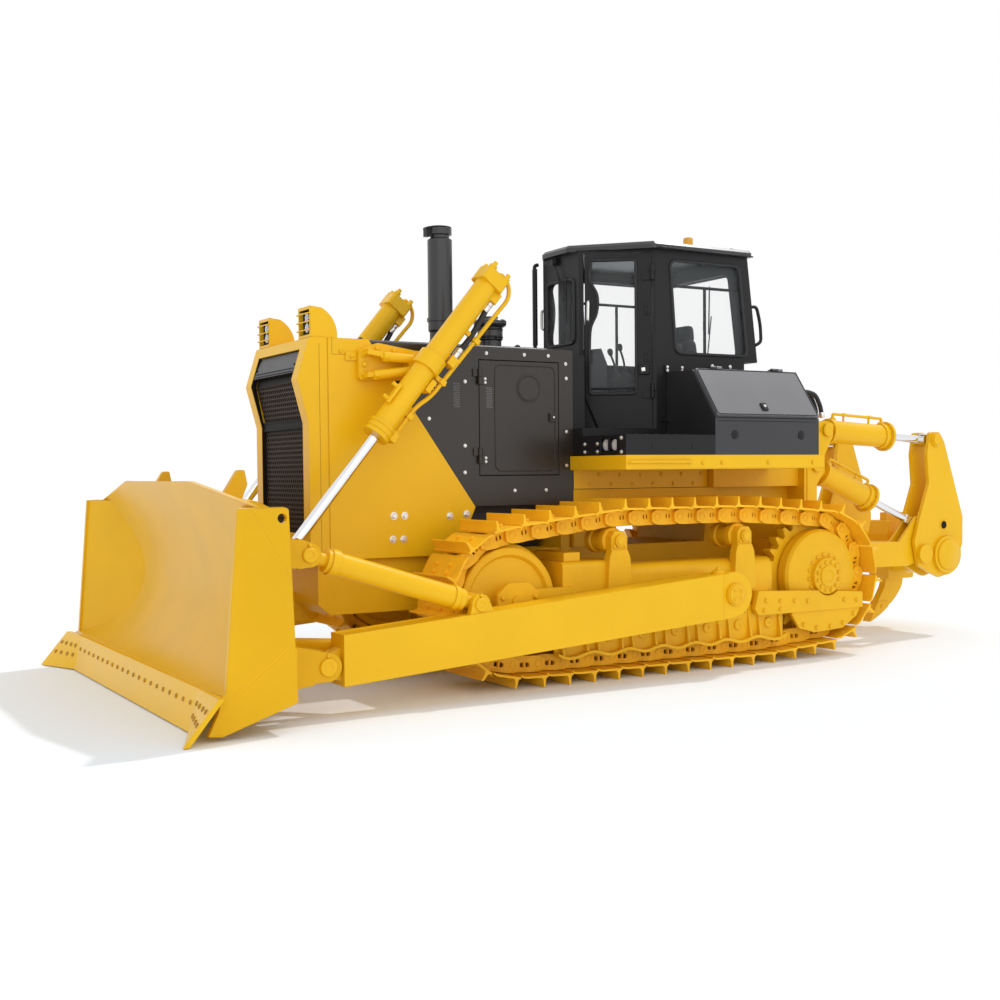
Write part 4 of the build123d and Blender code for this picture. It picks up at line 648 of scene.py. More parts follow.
def set_down_chain(side):
    # Copies of the pattern on the bench, laid end to end along the pin line.
    pattern = bpy.data.meshes.new("link_pattern")
    bench.to_mesh(pattern)
    bench.clear()
    for i, start in enumerate(track_pins):
        end = track_pins[(i + 1) % SHOE_COUNT]
        length = dist(start, end)
        t = ((end[0] - start[0]) / length, (end[1] - start[1]) / length)
        turn = Matrix(((t[0], 0, t[1], 0), (0, 1, 0, 0), (t[1], 0, -t[0], 0), (0, 0, 0, 1)))
        place = Matrix.Translation(at(start[0], side * TRACK_Y, start[1]))
        before = len(bench.verts)
        bench.from_mesh(pattern)
        bench.verts.ensure_lookup_table()
        move = place @ turn @ Matrix.Translation(-at(0, 0, 0))
        bmesh.ops.transform(bench, matrix=move, verts=bench.verts[before:])
    bpy.data.meshes.remove(pattern)


for side, hand in SIDES:
    shoe_and_links()
    set_down_chain(side)
    shoes = piece(f"track_shoes_{hand}", track_paint)
    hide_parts(f"track_{hand}")
    joint_pins()
    set_down_chain(side)
    piece(f"track_joint_pins_{hand}", track_paint)
print("shoes set down:", 2 * SHOE_COUNT)

# %% [markdown]
# The wheels and the track frame carry the bolts a fitter would reach for: a double ring on each final
# drive, the clamp bolts of the carrier and idler shafts, and the plug of every roller. They are painted
# with the frame, as the factory sprays the finished undercarriage in one go.

# %% Undercarriage bolts
AXLE_Z = 703
HUB_FACE_Y = 1335.0
CASE_FACE_Y = 1286.0
LEG_FACE_Y = 1340.0
SADDLE_FACE_Y = TRACK_Y + 278.0
GUARD_FACE_Y = TRACK_Y + 205.0
hub_cap = ((92, 0), (92, 10), (84, 16), (50, 20), (46, 14), (0, 14))
roller_plug = ((44, 0), (44, 14), (36, 20), (14, 20), (12, 14), (0, 14))

turned((0, HUB_FACE_Y - 2, AXLE_Z), OUTWARD, hub_cap, 40)
bolt_ring((0, HUB_FACE_Y, AXLE_Z), OUTWARD, 124, 12, 26)
bolt_ring((0, CASE_FACE_Y - 1, AXLE_Z), OUTWARD, 188, 16, 26, 0.1)
side_bolts(LEG_FACE_Y - 1, 28, (-330, 480), (-180, 490), (250, 500), (400, 512), (560, 520), (720, 530),
           (740, 450), (560, 450))
side_bolts(LEG_FACE_Y - 17, 30, (-310, 360), (-180, 285), (-30, 265), (130, 262), (280, 300))
side_bolts(SADDLE_FACE_Y - 1, 34, (3005, 630), (3005, 700), (3290, 630), (3290, 700))
for x, _ in CARRIER_PINS:
    turned((x, TRACK_Y + 238, 1080), OUTWARD, ((36, 0), (36, 8), (28, 12), (0, 12)), 24)
    side_bolts(TRACK_Y + 213, 26, (x - 52, 1040), (x + 52, 1040))
for x in ROLLER_XS:
    turned((x, GUARD_FACE_Y - 2, 338), OUTWARD, roller_plug, 28)
    side_bolts(GUARD_FACE_Y - 1, 26, (x - 70, 452), (x + 70, 452))
pair("undercarriage_bolts", frame_paint)
print("undercarriage bolted")

# %% [markdown]
# The blade wears out at its lower edge, so that edge is a strip of hard steel held by a long row of
# domed bolts, and each corner bit has two rows of its own. The lugs behind carry pins with locked
# heads, and each push arm turns on a trunnion held by a split cap.

# %% Blade and push arm fittings
EDGE_TOP = (5676.3, 283.0)
EDGE_TIP = (5742.3, 10.0)
BIT_TOP = (5692.0, 280.0)
BIT_TIP = (5917.0, 6.0)
EDGE_HALF = 1600.0
EDGE_BOLT_STEP = 152
BIT_HALF = 2065.0
ARM_FACE_Y = 1640.0
BLADE_END_Y = 1974.0


def domed_head(place, axis, radius=16.0):
    turned(place, axis, ((radius, -2), (radius, 3), (radius * 0.8, 7), (radius * 0.4, 9)), 14)


def pin_head(place, axis, radius):
    rim = ((radius, -2), (radius, 14), (radius - 6, 20), (radius * 0.5, 20), (radius * 0.45, 16))
    turned(place, axis, rim, 28)
    bolt(Vector(place) + Vector((0, 0, radius + 14)), axis, 22)


edge_normal = (EDGE_TOP[1] - EDGE_TIP[1], 0, EDGE_TIP[0] - EDGE_TOP[0])
x, z = between(EDGE_TOP, EDGE_TIP, 0.36)
for i in range(-10, 11):
    domed_head((x, i * EDGE_BOLT_STEP, z), edge_normal)
for side in (1, -1):
    for across in (0.16, 0.38, 0.62, 0.84):
        for down in (0.30, 0.58):
            x, z = between(between(EDGE_TOP, EDGE_TIP, down), between(BIT_TOP, BIT_TIP, down), across)
            y = side * (EDGE_HALF + (BIT_HALF - EDGE_HALF) * across)
            domed_head((x, y, z), (0.90, -side * 0.18, 0.38), 18)
# The bolt heads take a brown that paints the shade round them.
piece("cutting_edge_bolts", bolt_shade_brown, "dozer")

for z_low, z_high, x_low, x_high in ((1425, 1000, 5430, 5186), (560, 275, 5190, 5560)):
    tube([(x_low, BLADE_END_Y, z_low), (x_high, BLADE_END_Y, z_high)], 5, 8)
for x, z, radius in ((4800, 345, 62), (4919, 1095, 52), (3630, 694, 50)):
    pin_head((x, 1629, z), OUTWARD, radius)
pin_head((4774, 931, 1057.5), OUTWARD, 52)
pin_head((4774, 749, 1057.5), INWARD, 52)
block((1424, 1430), (ARM_FACE_Y - 2, ARM_FACE_Y + 1.5), (452, 800))
for z, up in ((786, 1), (466, -1)):
    turned((1392, 1530, z), (0, 0, up), ((52, 0), (52, 34), (46, 40)), 24)
    bolt((1392, 1530, z + up * 39), (0, 0, up), 44)
for x in (1800, 2500, 3200):
    block((x, x + 8), (ARM_FACE_Y - 2, ARM_FACE_Y + 1.2), (420, 440))
pair("blade_and_arm_fittings", yellow_enamel, "dozer", 2.0)

turned((1316, 1668, 640), OUTWARD, ((76, 0), (76, 10), (66, 16), (30, 16), (26, 12), (0, 12)), 36)
bolt_ring((1316, 1680, 640), OUTWARD, 48, 4, 20)
pair("trunnion_end_caps", frame_paint)
print("blade and arms fitted")

# %% [markdown]
# A lift cylinder hangs by its middle, so the oil has to reach both ends of a swinging tube. A hard pipe
# leaves the square head, turns round behind the barrel and runs down to the lower port, held by clamps.
# A short hose with bright crimped ends feeds the upper port from the trunnion. Places on the cylinder
# are counted along it from the trunnion and outward on its rear side.

# %% Lift cylinder pipes and hoses
LIFT_RING = Vector((3619.0, 840.0, 2454.0))
LIFT_EYE = Vector((4774.0, 840.0, 1057.5))
LIFT_ALONG = (LIFT_EYE - LIFT_RING).normalized()
LIFT_OUT = Vector((LIFT_ALONG.z, 0, -LIFT_ALONG.x))
LIFT_HEAD_END = -900.0
LIFT_BARREL_END = 714.0
PIPE_ROUTE = ((-920, 40), (-958, 40), (-940, 150), (-850, 212), (-740, 204), (180, 172), (330, 122),
              (640, 120))
PIPE_CLAMPS = ((-420, 200), (20, 176), (400, 126))
HOSE_ROUTE = ((-668, 112), (-560, 128), (-380, 146), (-226, 136))


def on_lift(along, out, aside=0.0):
    return LIFT_RING + LIFT_ALONG * along + LIFT_OUT * out + Vector((0, aside, 0))


def lift_brick(along, out, aside):
    # A block squared to the cylinder.
    corners = ((out[0], aside[0]), (out[1], aside[0]), (out[1], aside[1]), (out[0], aside[1]))
    loft([[on_lift(a, o, s) for o, s in corners] for a in along])


for out in (-72, 72):
    for aside in (-72, 72):
        stud_foot = on_lift(LIFT_HEAD_END + 2, out, aside)
        turned(stud_foot, -LIFT_ALONG, ((18, 0), (18, 62), (14, 66)), 12)
        turned(stud_foot, -LIFT_ALONG, ((32, 0), (32, 30), (27, 34)), 6)
lift_brick((LIFT_HEAD_END - 26, LIFT_HEAD_END + 2), (-40, 62), (-40, 40))
tube(cornered([on_lift(*spot) for spot in PIPE_ROUTE], 70), 17, 14)
for along, reach in PIPE_CLAMPS:
    lift_brick((along, along + 36), (84, reach + 24), (-12, 12))
    lift_brick((along - 4, along + 40), (reach - 24, reach + 24), (-26, 26))
    turned(on_lift(along + 18, reach + 22), LIFT_OUT, ((13, 0), (13, 12), (10, 15)), 6)
lift_brick((596, 668), (84, 142), (-46, 46))
lift_brick((-172, -92), (100, 168), (-44, 44))
lift_brick((86, 190), (84, 128), (-52, 52))
for along in (104, 138, 172):
    turned(on_lift(along, 127, 26), LIFT_OUT, ((12, 0), (12, 12), (9, 15)), 6)
lift_brick((300, 470), (-108, -84), (24, 70))
for along in (326, 444):
    turned(on_lift(along, -107, 47), -LIFT_OUT, ((16, 0), (16, 40), (12, 44)), 14)
for along in (LIFT_BARREL_END - 40, LIFT_BARREL_END - 84):
    tube(circle(on_lift(along, 0), LIFT_OUT, OUTWARD, 104, 32), 5, 6, closed=True)
pair("lift_cylinder_pipes", yellow_enamel, "lift_barrels", 2.0)

tube(flowing([on_lift(*spot) for spot in HOSE_ROUTE]), 23, 14)
pair("lift_cylinder_hoses", hose_rubber, "lift_barrels")

for start, end, out in ((-722, -630, 110), (-264, -166, 136)):
    length = end - start
    crimped = ((27, 0), (29, 6), (29, 30), (25, 36), (28, 42), (28, length - 6), (25, length))
    turned(on_lift(start, out), LIFT_ALONG, crimped, 20)
pair("lift_hose_fittings", zinc_plate, "lift_barrels")

for start, end in (((3640, 700, 2412), (4000, 700, 2366)), ((3640, 700, 2492), (3920, 700, 2506))):
    way = Vector(end) - Vector(start)
    turned(start, way, ((36, 0), (36, way.length - 14), (30, way.length)), 24)
    turned(end, way, ((40, -30), (40, 6), (34, 12)), 6)
    turned(end, way, ((18, 0), (18, 26), (14, 30)), 14)
side_bolts(611, 34, (4050, 2375), (4050, 2450), (4050, 2525), (3940, 2575), (3800, 2560))
bolt_ring((3619, 721, 2454), OUTWARD, 84, 6, 20)
pair("yoke_studs", yellow_enamel, rounding=1.5)
print("lift cylinders piped")

# %% [markdown]
# The mouth of the nose is closed by a punched sheet with six-sided holes. It stops stones and lets the
# fan breathe. The sheet is made cell by cell, each cell a ring of six walls, so light really falls
# through it. A blank panel with two pressed slots closes the top, and thin dark strips in the slots
# paint the shade inside them.

# %% Grille
CELL = 42.0
CELL_WIRE = 7.0
CELL_DEPTH = 9.0
GRILLE_HALF = 434.0


def punched_sheet(foot, head):
    # Rows of six-sided cells on the flat between two side-view points, across the whole mouth.
    foot, head = Vector((foot[0], 0, foot[1])), Vector((head[0], 0, head[1]))
    up = (head - foot).normalized()
    front = Vector((up.z, 0, -up.x))
    rise = CELL * sqrt(3) / 2
    wide = CELL / sqrt(3)
    for row in range(int((head - foot).length // rise)):
        shift = CELL / 2 if row % 2 else 0.0
        for column in range(-10, 11):
            y = column * CELL + shift
            if abs(y) + CELL / 2 > GRILLE_HALF:
                continue
            middle = foot + up * (rise * (row + 0.55)) + Vector((0, y, 0))
            rims = ((wide, 0), (wide - CELL_WIRE, 0), (wide - CELL_WIRE, -CELL_DEPTH))
            loft([circle(middle + front * d, OUTWARD, up, r, 6, pi / 6) for r, d in rims], ends=False)


punched_sheet((4452, 1190), (4452, 1972))
punched_sheet((4456, 2038), (4526, 2340))
piece("grille_sheet", wire_brown)

for z in (1176, 1972, 2030):
    block((4444, 4468), (-435, 435), (z, z + 12))
for side in (1, -1):
    block((4446, 4462), (side * 424, side * 435), (1186, 1975))
piece("grille_rails", mesh_black_and_shade, rounding=2.0)

# Dark sheets along the sides of the mouth paint the shade on its side walls.
mouth_shade_outline = ((4443, 1182), (4475, 1182), (4475, 2007), (4561, 2331), (4491, 2556), (4446, 2556), (4520, 2331))
mouth_shade_outline += ((4463, 2037), (4463, 1973), (4443, 1973))
plate(mouth_shade_outline, "y", 435.5, 439.5)
pair("mouth_shade_liners", mesh_black_and_shade)

plate(((4470, 2549), (4476, 2552), (4546, 2388), (4540, 2386)), "y", -416, 416)
piece("header_panel", header_grey, rounding=2.5)
# Thin dark strips on the panel paint the shade inside its two pressed slots; the bolts share that black.
for share in (0.76, 0.90):
    x, z = 4476 + 70 * share, 2552 - 164 * share
    plate(((x - 1, z - 1), (x + 2, z), (x + 6, z - 9), (x + 3, z - 10)), "y", -392, 392)
for y in (-400, 400):
    for share in (0.1, 0.62):
        bolt((4474 + 70 * share, y, 2552 - 164 * share), (164, 0, 70), 14)
piece("header_slot_shade_and_bolts", mesh_black_and_shade)
print("grille cells ready")

# %% [markdown]
# Two lamp boxes stand on the nose, each with a pair of lamps behind three bars that keep branches off
# the glass. The bowls are bright metal under a clear cover, and dark sheets lining the box paint the
# shade inside it.

# %% Headlamps
HEADLAMPS = ((427.0, 2722), (427.0, 2797))


def lamps(name, finish, x, places, profile, sides):
    for y, z in places:
        turned((x, y, z), AHEAD, profile, sides)
    pair(name, finish)


bowl = ((37, 0), (37, 12), (32, 12), (15, 5), (8, 9), (0, 10))
lamps("headlamp_bowls", lamp_bowl, 4414, HEADLAMPS, bowl, 28)
lamps("headlamp_covers", lamp_glass, 4426, HEADLAMPS, ((36, 0), (36, 3), (26, 8), (12, 11), (0, 12)), 28)

# Dark sheets on the walls of the lamp box paint the shade inside the recess.
block((4371, 4416), (330, 346), (2668, 2850))
block((4371, 4416), (509, 525), (2668, 2850))
block((4371, 4446), (329, 526), (2668, 2672))
block((4371, 4446), (329, 526), (2847, 2851))
block((4416, 4420), (336, 519), (2675, 2844))
pair("headlamp_shade_liners", mesh_black_and_shade, rounding=1.5)

for z in (2700, 2760, 2822):
    tube(cornered([(4446, 308, z), (4464, 312, z), (4464, 543, z), (4446, 547, z)], 12), 5, 10)
pair("headlamp_bars", yellow_enamel)
print("headlamps ready")

# %% [markdown]
# The side of the nose is one yellow sheet with a bolted service cover and a row of bright plated bolts.
# The black hood behind it has its own bolts along the slanted joint, a pair of punched breather vents,
# and doors with a pressed bead, a latch and a round rim.

# %% Nose and hood fittings
BODY_Y = 559.0
DOT_STEP = 14

side_bolts(BODY_Y - 1, 38, (3789, 1300), (3697, 1300), (3800, 1119), (3708, 1119), (3300, 1288),
           (3150, 1300))
side_bolts(BODY_Y - 1, 18, (3474, 2052), (3157, 1842), (3160, 1630), (3151, 2349), (2954, 2580),
           (2600, 2580), (2370, 2580), (2200, 2520), (2195, 2400), (2195, 1960), (2195, 1680),
           (2700, 1480), (2400, 1480), (3330, 2500))
pair("body_side_bolts", zinc_plate)

for x, z in (((3880, 4286), (2521, 2525)), ((4283, 4287), (2525, 2640)), ((4386, 4390), (985, 2600))):
    block(x, (BODY_Y - 2, BODY_Y + 0.8), z)
both_sides()
block((4283, 4287), (-BODY_Y, BODY_Y), (2643, 2645.8))
piece("nose_seams", seam_brown)

block((4090, 4180), (BODY_Y - 2, BODY_Y + 16), (2480, 2545))
side_bolts(BODY_Y + 15, 26, (4135, 2512))
side_bolts(BODY_Y - 1, 22, (4217, 2545), (3907, 2545))
block((4020, 4230), (380, 480), (2643, 2652))
pair("nose_latches", yellow_enamel, rounding=2.0)


def breather_dots(x, y, z_low, z_high):
    # A narrow field of punched dots.
    for row in range(int((z_high - z_low) // DOT_STEP)):
        for column in range(4):
            spot = (x - 21 + column * DOT_STEP + (7 if row % 2 else 0), y, z_low + row * DOT_STEP)
            turned(spot, OUTWARD, ((4.6, -1), (4.6, 1.5)), 8)


breather_dots(3226, BODY_Y, 2150, 2350)
pair("hood_breathers", vent_grey)

BEAD = ((2310, 1640), (2880, 1640), (2880, 2490), (2310, 2490))
for side, hand in SIDES:
    door, y, outward = f"engine_door_{hand}", side * BODY_Y, (0, side, 0)
    breather_dots(2930, y, 2150, 2330)
    piece(f"engine_door_breather_{hand}", vent_grey, door)
    hoop([(x, y + side, z) for x, z in BEAD], 60, 5, 8)
    tube(circle((2560, y + side * 6, 2310), AHEAD, UP, 100, 40), 5, 8, closed=True)
    block((2316, 2364), (y + side * 17, y + side * 22), (2046, 2104))
    turned((2340, y + side * 21, 2075), outward, ((14, 0), (14, 10), (11, 12), (0, 12)), 18)
    piece(f"engine_door_bead_{hand}", hood_black, door)
    turned((2340, y + side * 30, 2075), outward, ((9, 0), (9, 6), (6, 8)), 14)
    for z in (1715, 1745, 2345, 2375):
        bolt((2975, y + side * 13, z), outward, 14)
    piece(f"engine_door_latch_{hand}", zinc_plate, door)
print("nose and hood fitted")

# %% [markdown]
# The exhaust pipe is closed by a weighted flap that the gas lifts, and clamp bands hold the pipe and
# the air cleaner together. A filler cap and two lifting eyes stand on the hood.

# %% Hood top
STACK_X = 3071
CLEANER_X = 2598
turned((STACK_X, 0, 3650), (0, 0.02, 1), ((99, 0), (99, 6), (92, 11), (20, 14), (0, 14)), 40)
block((3168, 3206), (-30, 30), (3572, 3648))
tube([(3190, -44, 3640), (3190, 44, 3640)], 12, 12)
for z in (2760, 2826):
    turned((CLEANER_X, 0, z), UP, ((106, 0), (111, 3), (111, 17), (106, 20)), 40)
turned((STACK_X, 0, 2700), UP, ((90, 0), (96, 3), (96, 21), (90, 24)), 40)
for y in (-1, 1):
    turned((CLEANER_X, y * 112, 2764), (0.3, y, 0), ((10, 0), (10, 18), (7, 20)), 12)
turned((3560, 240, 2644), UP, ((62, 0), (62, 16), (54, 22), (30, 22), (28, 30), (0, 31)), 32)
for x in (2330, 3800):
    tube([(x, 60 * cos(a), 2650 + 62 * sin(a)) for a in [pi * i / 14 for i in range(15)]], 11, 10)
piece("hood_top_fittings", black_enamel)
print("hood top fitted")

# %% [markdown]
# The cab is a steel box with big panes set in rubber. Each pane gets its gasket as a bead round the
# opening, the door its wavy-edged gasket, a bright grip, a lock and hinge leaves. Places on the door
# are counted along it from the front post, outward from its skin, and up.

# %% Cab windows and door gaskets
CAB_FRONT = Vector((1880.0, 285.0, 0))
CAB_CORNER = Vector((1372.0, 702.0, 0))
WALL_WAY = (CAB_CORNER - CAB_FRONT).normalized()
WALL_OUT = Vector((WALL_WAY.y, -WALL_WAY.x, 0))
CAB_SIDE_Y = 702.0
WINDOW_TOP = 3425.0
DOOR_EDGE = ((110, WINDOW_TOP), (92, 3277), (157, 3132), (152, 2985), (100, 2854), (88, 2664))
REAR_FOOT, REAR_HEAD = (247, 2586), (364, 3510)
DOOR_GRIP = ((84, 4, 3085), (84, 46, 3075), (80, 46, 2915), (80, 4, 2905))


def on_door(side, u, out, z):
    spot = CAB_FRONT + WALL_WAY * u + WALL_OUT * out
    return Vector((spot.x, side * spot.y, z))


def on_skin(side, out, *places):
    return [on_door(side, u, out, z) for u, z in places]


def rear_wall_x(z):
    share = (z - REAR_FOOT[1]) / (REAR_HEAD[1] - REAR_FOOT[1])
    return between(REAR_FOOT, REAR_HEAD, share)[0]


side_window = ((366, 2635), (1163, 2635), (1224, WINDOW_TOP), (463, WINDOW_TOP))
hoop([(x, CAB_SIDE_Y, z) for x, z in side_window], 70, 15, 10)
both_sides()
hoop([(1881, y, z) for y, z in ((-215, 2735), (215, 2735), (215, 3290), (-215, 3290))], 60, 14, 10)
rear_window = ((-480, 2640), (480, 2640), (480, 3390), (-480, 3390))
hoop([(rear_wall_x(z), y, z) for y, z in rear_window], 70, 14, 10)
piece("window_gaskets", hose_rubber)

block((448, 1196), (652, 668), (3204, 3228))
block((800, 824), (652, 668), (2646, 3206))
for x in (806, 818):
    block((x - 3, x + 3), (646, 654), (2850, 2930))
pair("window_slider_frames", black_enamel, rounding=2.0)

for side, hand in SIDES:
    door, outward = f"cab_door_{hand}", (WALL_OUT.x, side * WALL_OUT.y, 0)
    front_edge = flowing(on_skin(side, 1, *DOOR_EDGE), 6)
    corners = on_skin(side, 1, (88, 2290), (487, 2290), (487, WINDOW_TOP))
    rest = cornered([front_edge[-1], *corners, front_edge[0]], 34)
    tube(front_edge + rest[1:-1], 13, 10, closed=True)
    hoop(on_skin(side, 2, (30, 3492), (30, 2260), (140, 1998), (628, 1998), (628, 3492)), 20, 4, 6)
    piece(f"cab_door_gasket_{hand}", hose_rubber, door)
    tube(cornered([on_door(side, *place) for place in DOOR_GRIP], 28), 13, 12)
    turned(on_door(side, 548, 24, 2492), outward, ((22, 0), (22, 8), (16, 10), (0, 10)), 4)
    piece(f"cab_door_grip_{hand}", zinc_plate, door)
    lock_foot = on_skin(side, 0, (510, 2450), (600, 2450), (600, 2536), (510, 2536))
    loft([lock_foot, on_skin(side, 26, (514, 2454), (596, 2454), (596, 2532), (514, 2532))])
    for z in (2560, 2960):
        loft([on_skin(side, out, (560, z), (616, z), (616, z + 90), (560, z + 90)) for out in (0, 9)])
        for dz in (22, 68):
            bolt(on_door(side, 585, 8, z + dz), outward, 12)
    tube(on_skin(side, 2, (100, 2336), (480, 2336)), 9, 8)
    piece(f"cab_door_lock_{hand}", black_enamel, door, 1.5)
print("cab glazed")

# %% [markdown]
# Outside the cab hang the things a driver uses: wipers front and rear, a mirror rail on the right, a
# grab handle behind each side window, an amber beacon beside a round vent, and thin wire eyes for
# lifting the roof off.

# %% Cab outside
ROOF_EDGE_Z = 3514
BEACON_X, BEACON_Y = 704, 300
block((1878, 1912), (-112, -28), (3440, 3500))
turned((1906, -68, 3470), AHEAD, ((26, 0), (26, 14), (18, 18)), 20)
for foot_y, foot_z in ((85, 3122), (118, 3150)):
    tube(cornered([(1922, -68, 3474), (1916, -20, 3400), (1904, foot_y, foot_z)], 40), 6, 8)
block((1888, 1898), (104, 116), (2932, 3314))
tube([(1900, 66, 3122), (1900, 132, 3122)], 7, 8)
tube(cornered([(1900, -338, 3482), (1936, -338, 3470), (1936, -338, 2730), (1900, -338, 2718)], 40), 17, 12)
block((1924, 1944), (-366, -310), (2760, 3440))
block((236, 270), (-44, 44), (2596, 2636))
tube([(246, 0, 2620), (rear_wall_x(3060) - 16, 120, 3060)], 6, 8)
tube([(rear_wall_x(2900) - 14, 60, 2900), (rear_wall_x(3330) - 14, 140, 3330)], 7, 8)
piece("wipers_and_mirror_rail", black_enamel, rounding=1.5)

handle = ((330, -12, 3075), (250, -6, 3088), (205, -6, 2930), (196, -6, 2772), (262, -12, 2740))
tube(cornered([(x, CAB_SIDE_Y + out, z) for x, out, z in handle], 60), 15, 12)
gutter = [(x, y, ROOF_EDGE_Z) for x, y in ((900, 755), (1372, 775), (1890, 262))]
tube(cornered(gutter, 20), 7, 8)
tube([(330, 742, ROOF_EDGE_Z), (900, 755, ROOF_EDGE_Z)], 7, 8)
for x, y in ((1433, 300), (436, 600)):
    tube(cornered([(x - 40, y, 3566), (x - 40, y, 3592), (x + 30, y, 3596), (x + 44, y, 3590)], 14), 5, 8)
block((1075, 1290), (CAB_SIDE_Y - 2, CAB_SIDE_Y + 14), (2470, 2530))
turned((1252, CAB_SIDE_Y - 2, 2059), OUTWARD, ((20, 0), (20, 40), (16, 44)), 16)
tube([(1252, CAB_SIDE_Y + 34, 2059), (1330, CAB_SIDE_Y + 26, 2059)], 8, 8)
block((700, 1290), (CAB_SIDE_Y - 1, CAB_SIDE_Y + 3), (1992, 2004))
pair("cab_handles", black_enamel, rounding=1.5)

side_bolts(CAB_SIDE_Y - 1, 20, (1192, 2391), (1182, 2156), (1176, 2010), (963, 2335), (955, 2060),
           (760, 2540), (560, 2540))
side_bolts(CAB_SIDE_Y + 13, 16, (1262, 2515), (1262, 2486), (1104, 2515), (1104, 2486))
pair("cab_side_bolts", zinc_plate)

turned((BEACON_X, BEACON_Y, 3588), UP, ((44, 0), (44, 112), (40, 128), (22, 136), (0, 138)), 36)
piece("beacon", amber_glass)
turned((BEACON_X, BEACON_Y, 3566), UP, ((60, 0), (60, 14), (50, 18), (50, 26), (46, 28)), 36)
turned((650, 0, 3606), UP, ((58, 0), (66, 6), (66, 22), (50, 34), (0, 40)), 36)
piece("roof_vent_and_beacon_foot", black_enamel)
print("cab fitted")

# %% [markdown]
# Through the glass the eye finds the driver's place. The seat is a foam cushion and a padded back with
# a head rest, crowned in the middle and pulled in at the seams. It takes the place of the plain solid
# seat. A wheel-less machine is steered by short levers, so those stand on the consoles, with two pedals
# and a panel of three dials ahead of them.

# %% Seat
BACK_LEAN = radians(-83)
PAD_CUTS = 11
PAD_CROWN = 0.25
SEAM_PLACE, SEAM_WIDTH, SEAM_DEPTH = 0.58, 0.09, 0.07


def crowned_pad(name, middle, half, lean):
    # A closed cushion: a rounded slab whose faces swell in the middle and whose rim is pulled in.
    bmesh.ops.create_cube(bench, size=2.0)
    bmesh.ops.subdivide_edges(bench, edges=bench.edges[:], cuts=PAD_CUTS, use_grid_fill=True)
    tilt = Matrix.Rotation(lean, 3, "Y")
    corner = min(half) * 0.8
    for vert in bench.verts:
        u, v, w = vert.co
        swell = (1 - u * u) * (1 - v * v)
        seam = exp(-((abs(v) - SEAM_PLACE) / SEAM_WIDTH) ** 2) * (1 if abs(w) > 0.9 else 0)
        full = Vector((u * half[0], v * half[1], w * half[2]))
        core = Vector([max(-h + corner, min(h - corner, c)) for c, h in zip(full, half)])
        local = core + (full - core).normalized() * corner
        local.z *= 1 + PAD_CROWN * (swell - 1) - SEAM_DEPTH * seam
        vert.co = at(*(Vector(middle) + tilt @ local))
    cushion = piece(name, seat_cloth)
    smooth = cushion.modifiers.new("foam", "SUBSURF")
    smooth.levels = 1
    smooth.render_levels = 1


crowned_pad("seat_cushion", (770, 0, 2382), (250, 262, 80), 0.0)
crowned_pad("seat_back", (580, 0, 2610), (215, 245, 72), BACK_LEAN)
crowned_pad("seat_head_rest", (556, 0, 2880), (80, 165, 56), BACK_LEAN)
pillar = ((190, 0), (190, 14), (150, 30), (120, 60), (112, 250), (180, 290), (190, 318))
turned((740, 0, 1986), UP, pillar, 32)
for y in (-70, 70):
    tube([(572, y, 2790), (560, y, 2860)], 9, 8)
for side in (1, -1):
    tube(cornered([(560, side * 285, 2500), (560, side * 292, 2600), (830, side * 292, 2610)], 60), 26, 12)
seat_stand = piece("seat_stand", cab_plastic)
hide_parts("seat")
print("seat stuffed")

# %% Controls
CONSOLE_TOP = 2516
for x, y, height in ((980, 395, 240), (900, -395, 250), (1010, -395, 200), (820, 395, 180)):
    top = CONSOLE_TOP + height
    bend = (x + 20, y, CONSOLE_TOP + height * 0.6)
    tube(cornered([(x, y, CONSOLE_TOP), bend, (x + 60, y, top)], 60), 10, 10)
    turned((x + 56, y, top - 8), (0.3, 0, 1), ((14, 0), (24, 20), (26, 46), (20, 62), (8, 68)), 18)
    turned((x, y, CONSOLE_TOP + 2), UP, ((44, 0), (38, 10), (28, 24), (30, 30), (16, 44)), 20)
for y in (-110, 110):
    tube(cornered([(1600, y, 2030), (1500, y, 2080), (1440, y, 2160)], 40), 14, 10)
    block((1410, 1450), (y - 50, y + 50), (2150, 2230))
plate(((1556, 2500), (1546, 2560), (1610, 2700), (1700, 2690), (1700, 2558)), "y", -230, 230)
for y in (-150, 0, 150):
    turned((1574, y, 2628), (-0.9, 0, 0.42), ((52, 0), (52, 16), (46, 18), (44, 12), (0, 12)), 28)
piece("cab_controls", cab_plastic, rounding=2.0)
print("controls set")

# %% [markdown]
# The deck beside the cab has black step boxes with raised tread studs, a pair of work lamps let into
# the front of each, a yellow rail to hold on by, and a latch on each sloped box lid.

# %% Deck, steps and boxes
STEP_FRONT_X = 2163.0
FENDER_FACE_Y = 1350.0
WORK_LAMPS = ((1065, 1838), (1185, 1838))
for row in range(9):
    for column in range(8):
        x = 1330 + column * 98 + (49 if row % 2 else 0)
        turned((x, 760 + row * 66, 1915), UP, ((17, 0), (15, 5), (9, 7)), 10)
block((1290, 2150), (FENDER_FACE_Y - 4, FENDER_FACE_Y + 2), (1884, 1900))
for x in (1500, 1900):
    turned((x, FENDER_FACE_Y - 1, 1820), OUTWARD, ((16, 0), (16, 4), (10, 7)), 14)
for x in (330, 1060):
    turned((x, FENDER_FACE_Y - 2, 1920), OUTWARD, ((38, 0), (38, 5), (30, 9), (0, 10)), 28)
block((160, 1236), (FENDER_FACE_Y - 3, FENDER_FACE_Y + 1.5), (2030, 2036))
for y in (1010, 1120, 1130, 1240):
    block((STEP_FRONT_X - 30, STEP_FRONT_X + 8), (y - 4, y + 4), (1780, 1896))
for z in (1780, 1890):
    block((STEP_FRONT_X - 30, STEP_FRONT_X + 4), (1002, 1248), (z - 2, z + 6))
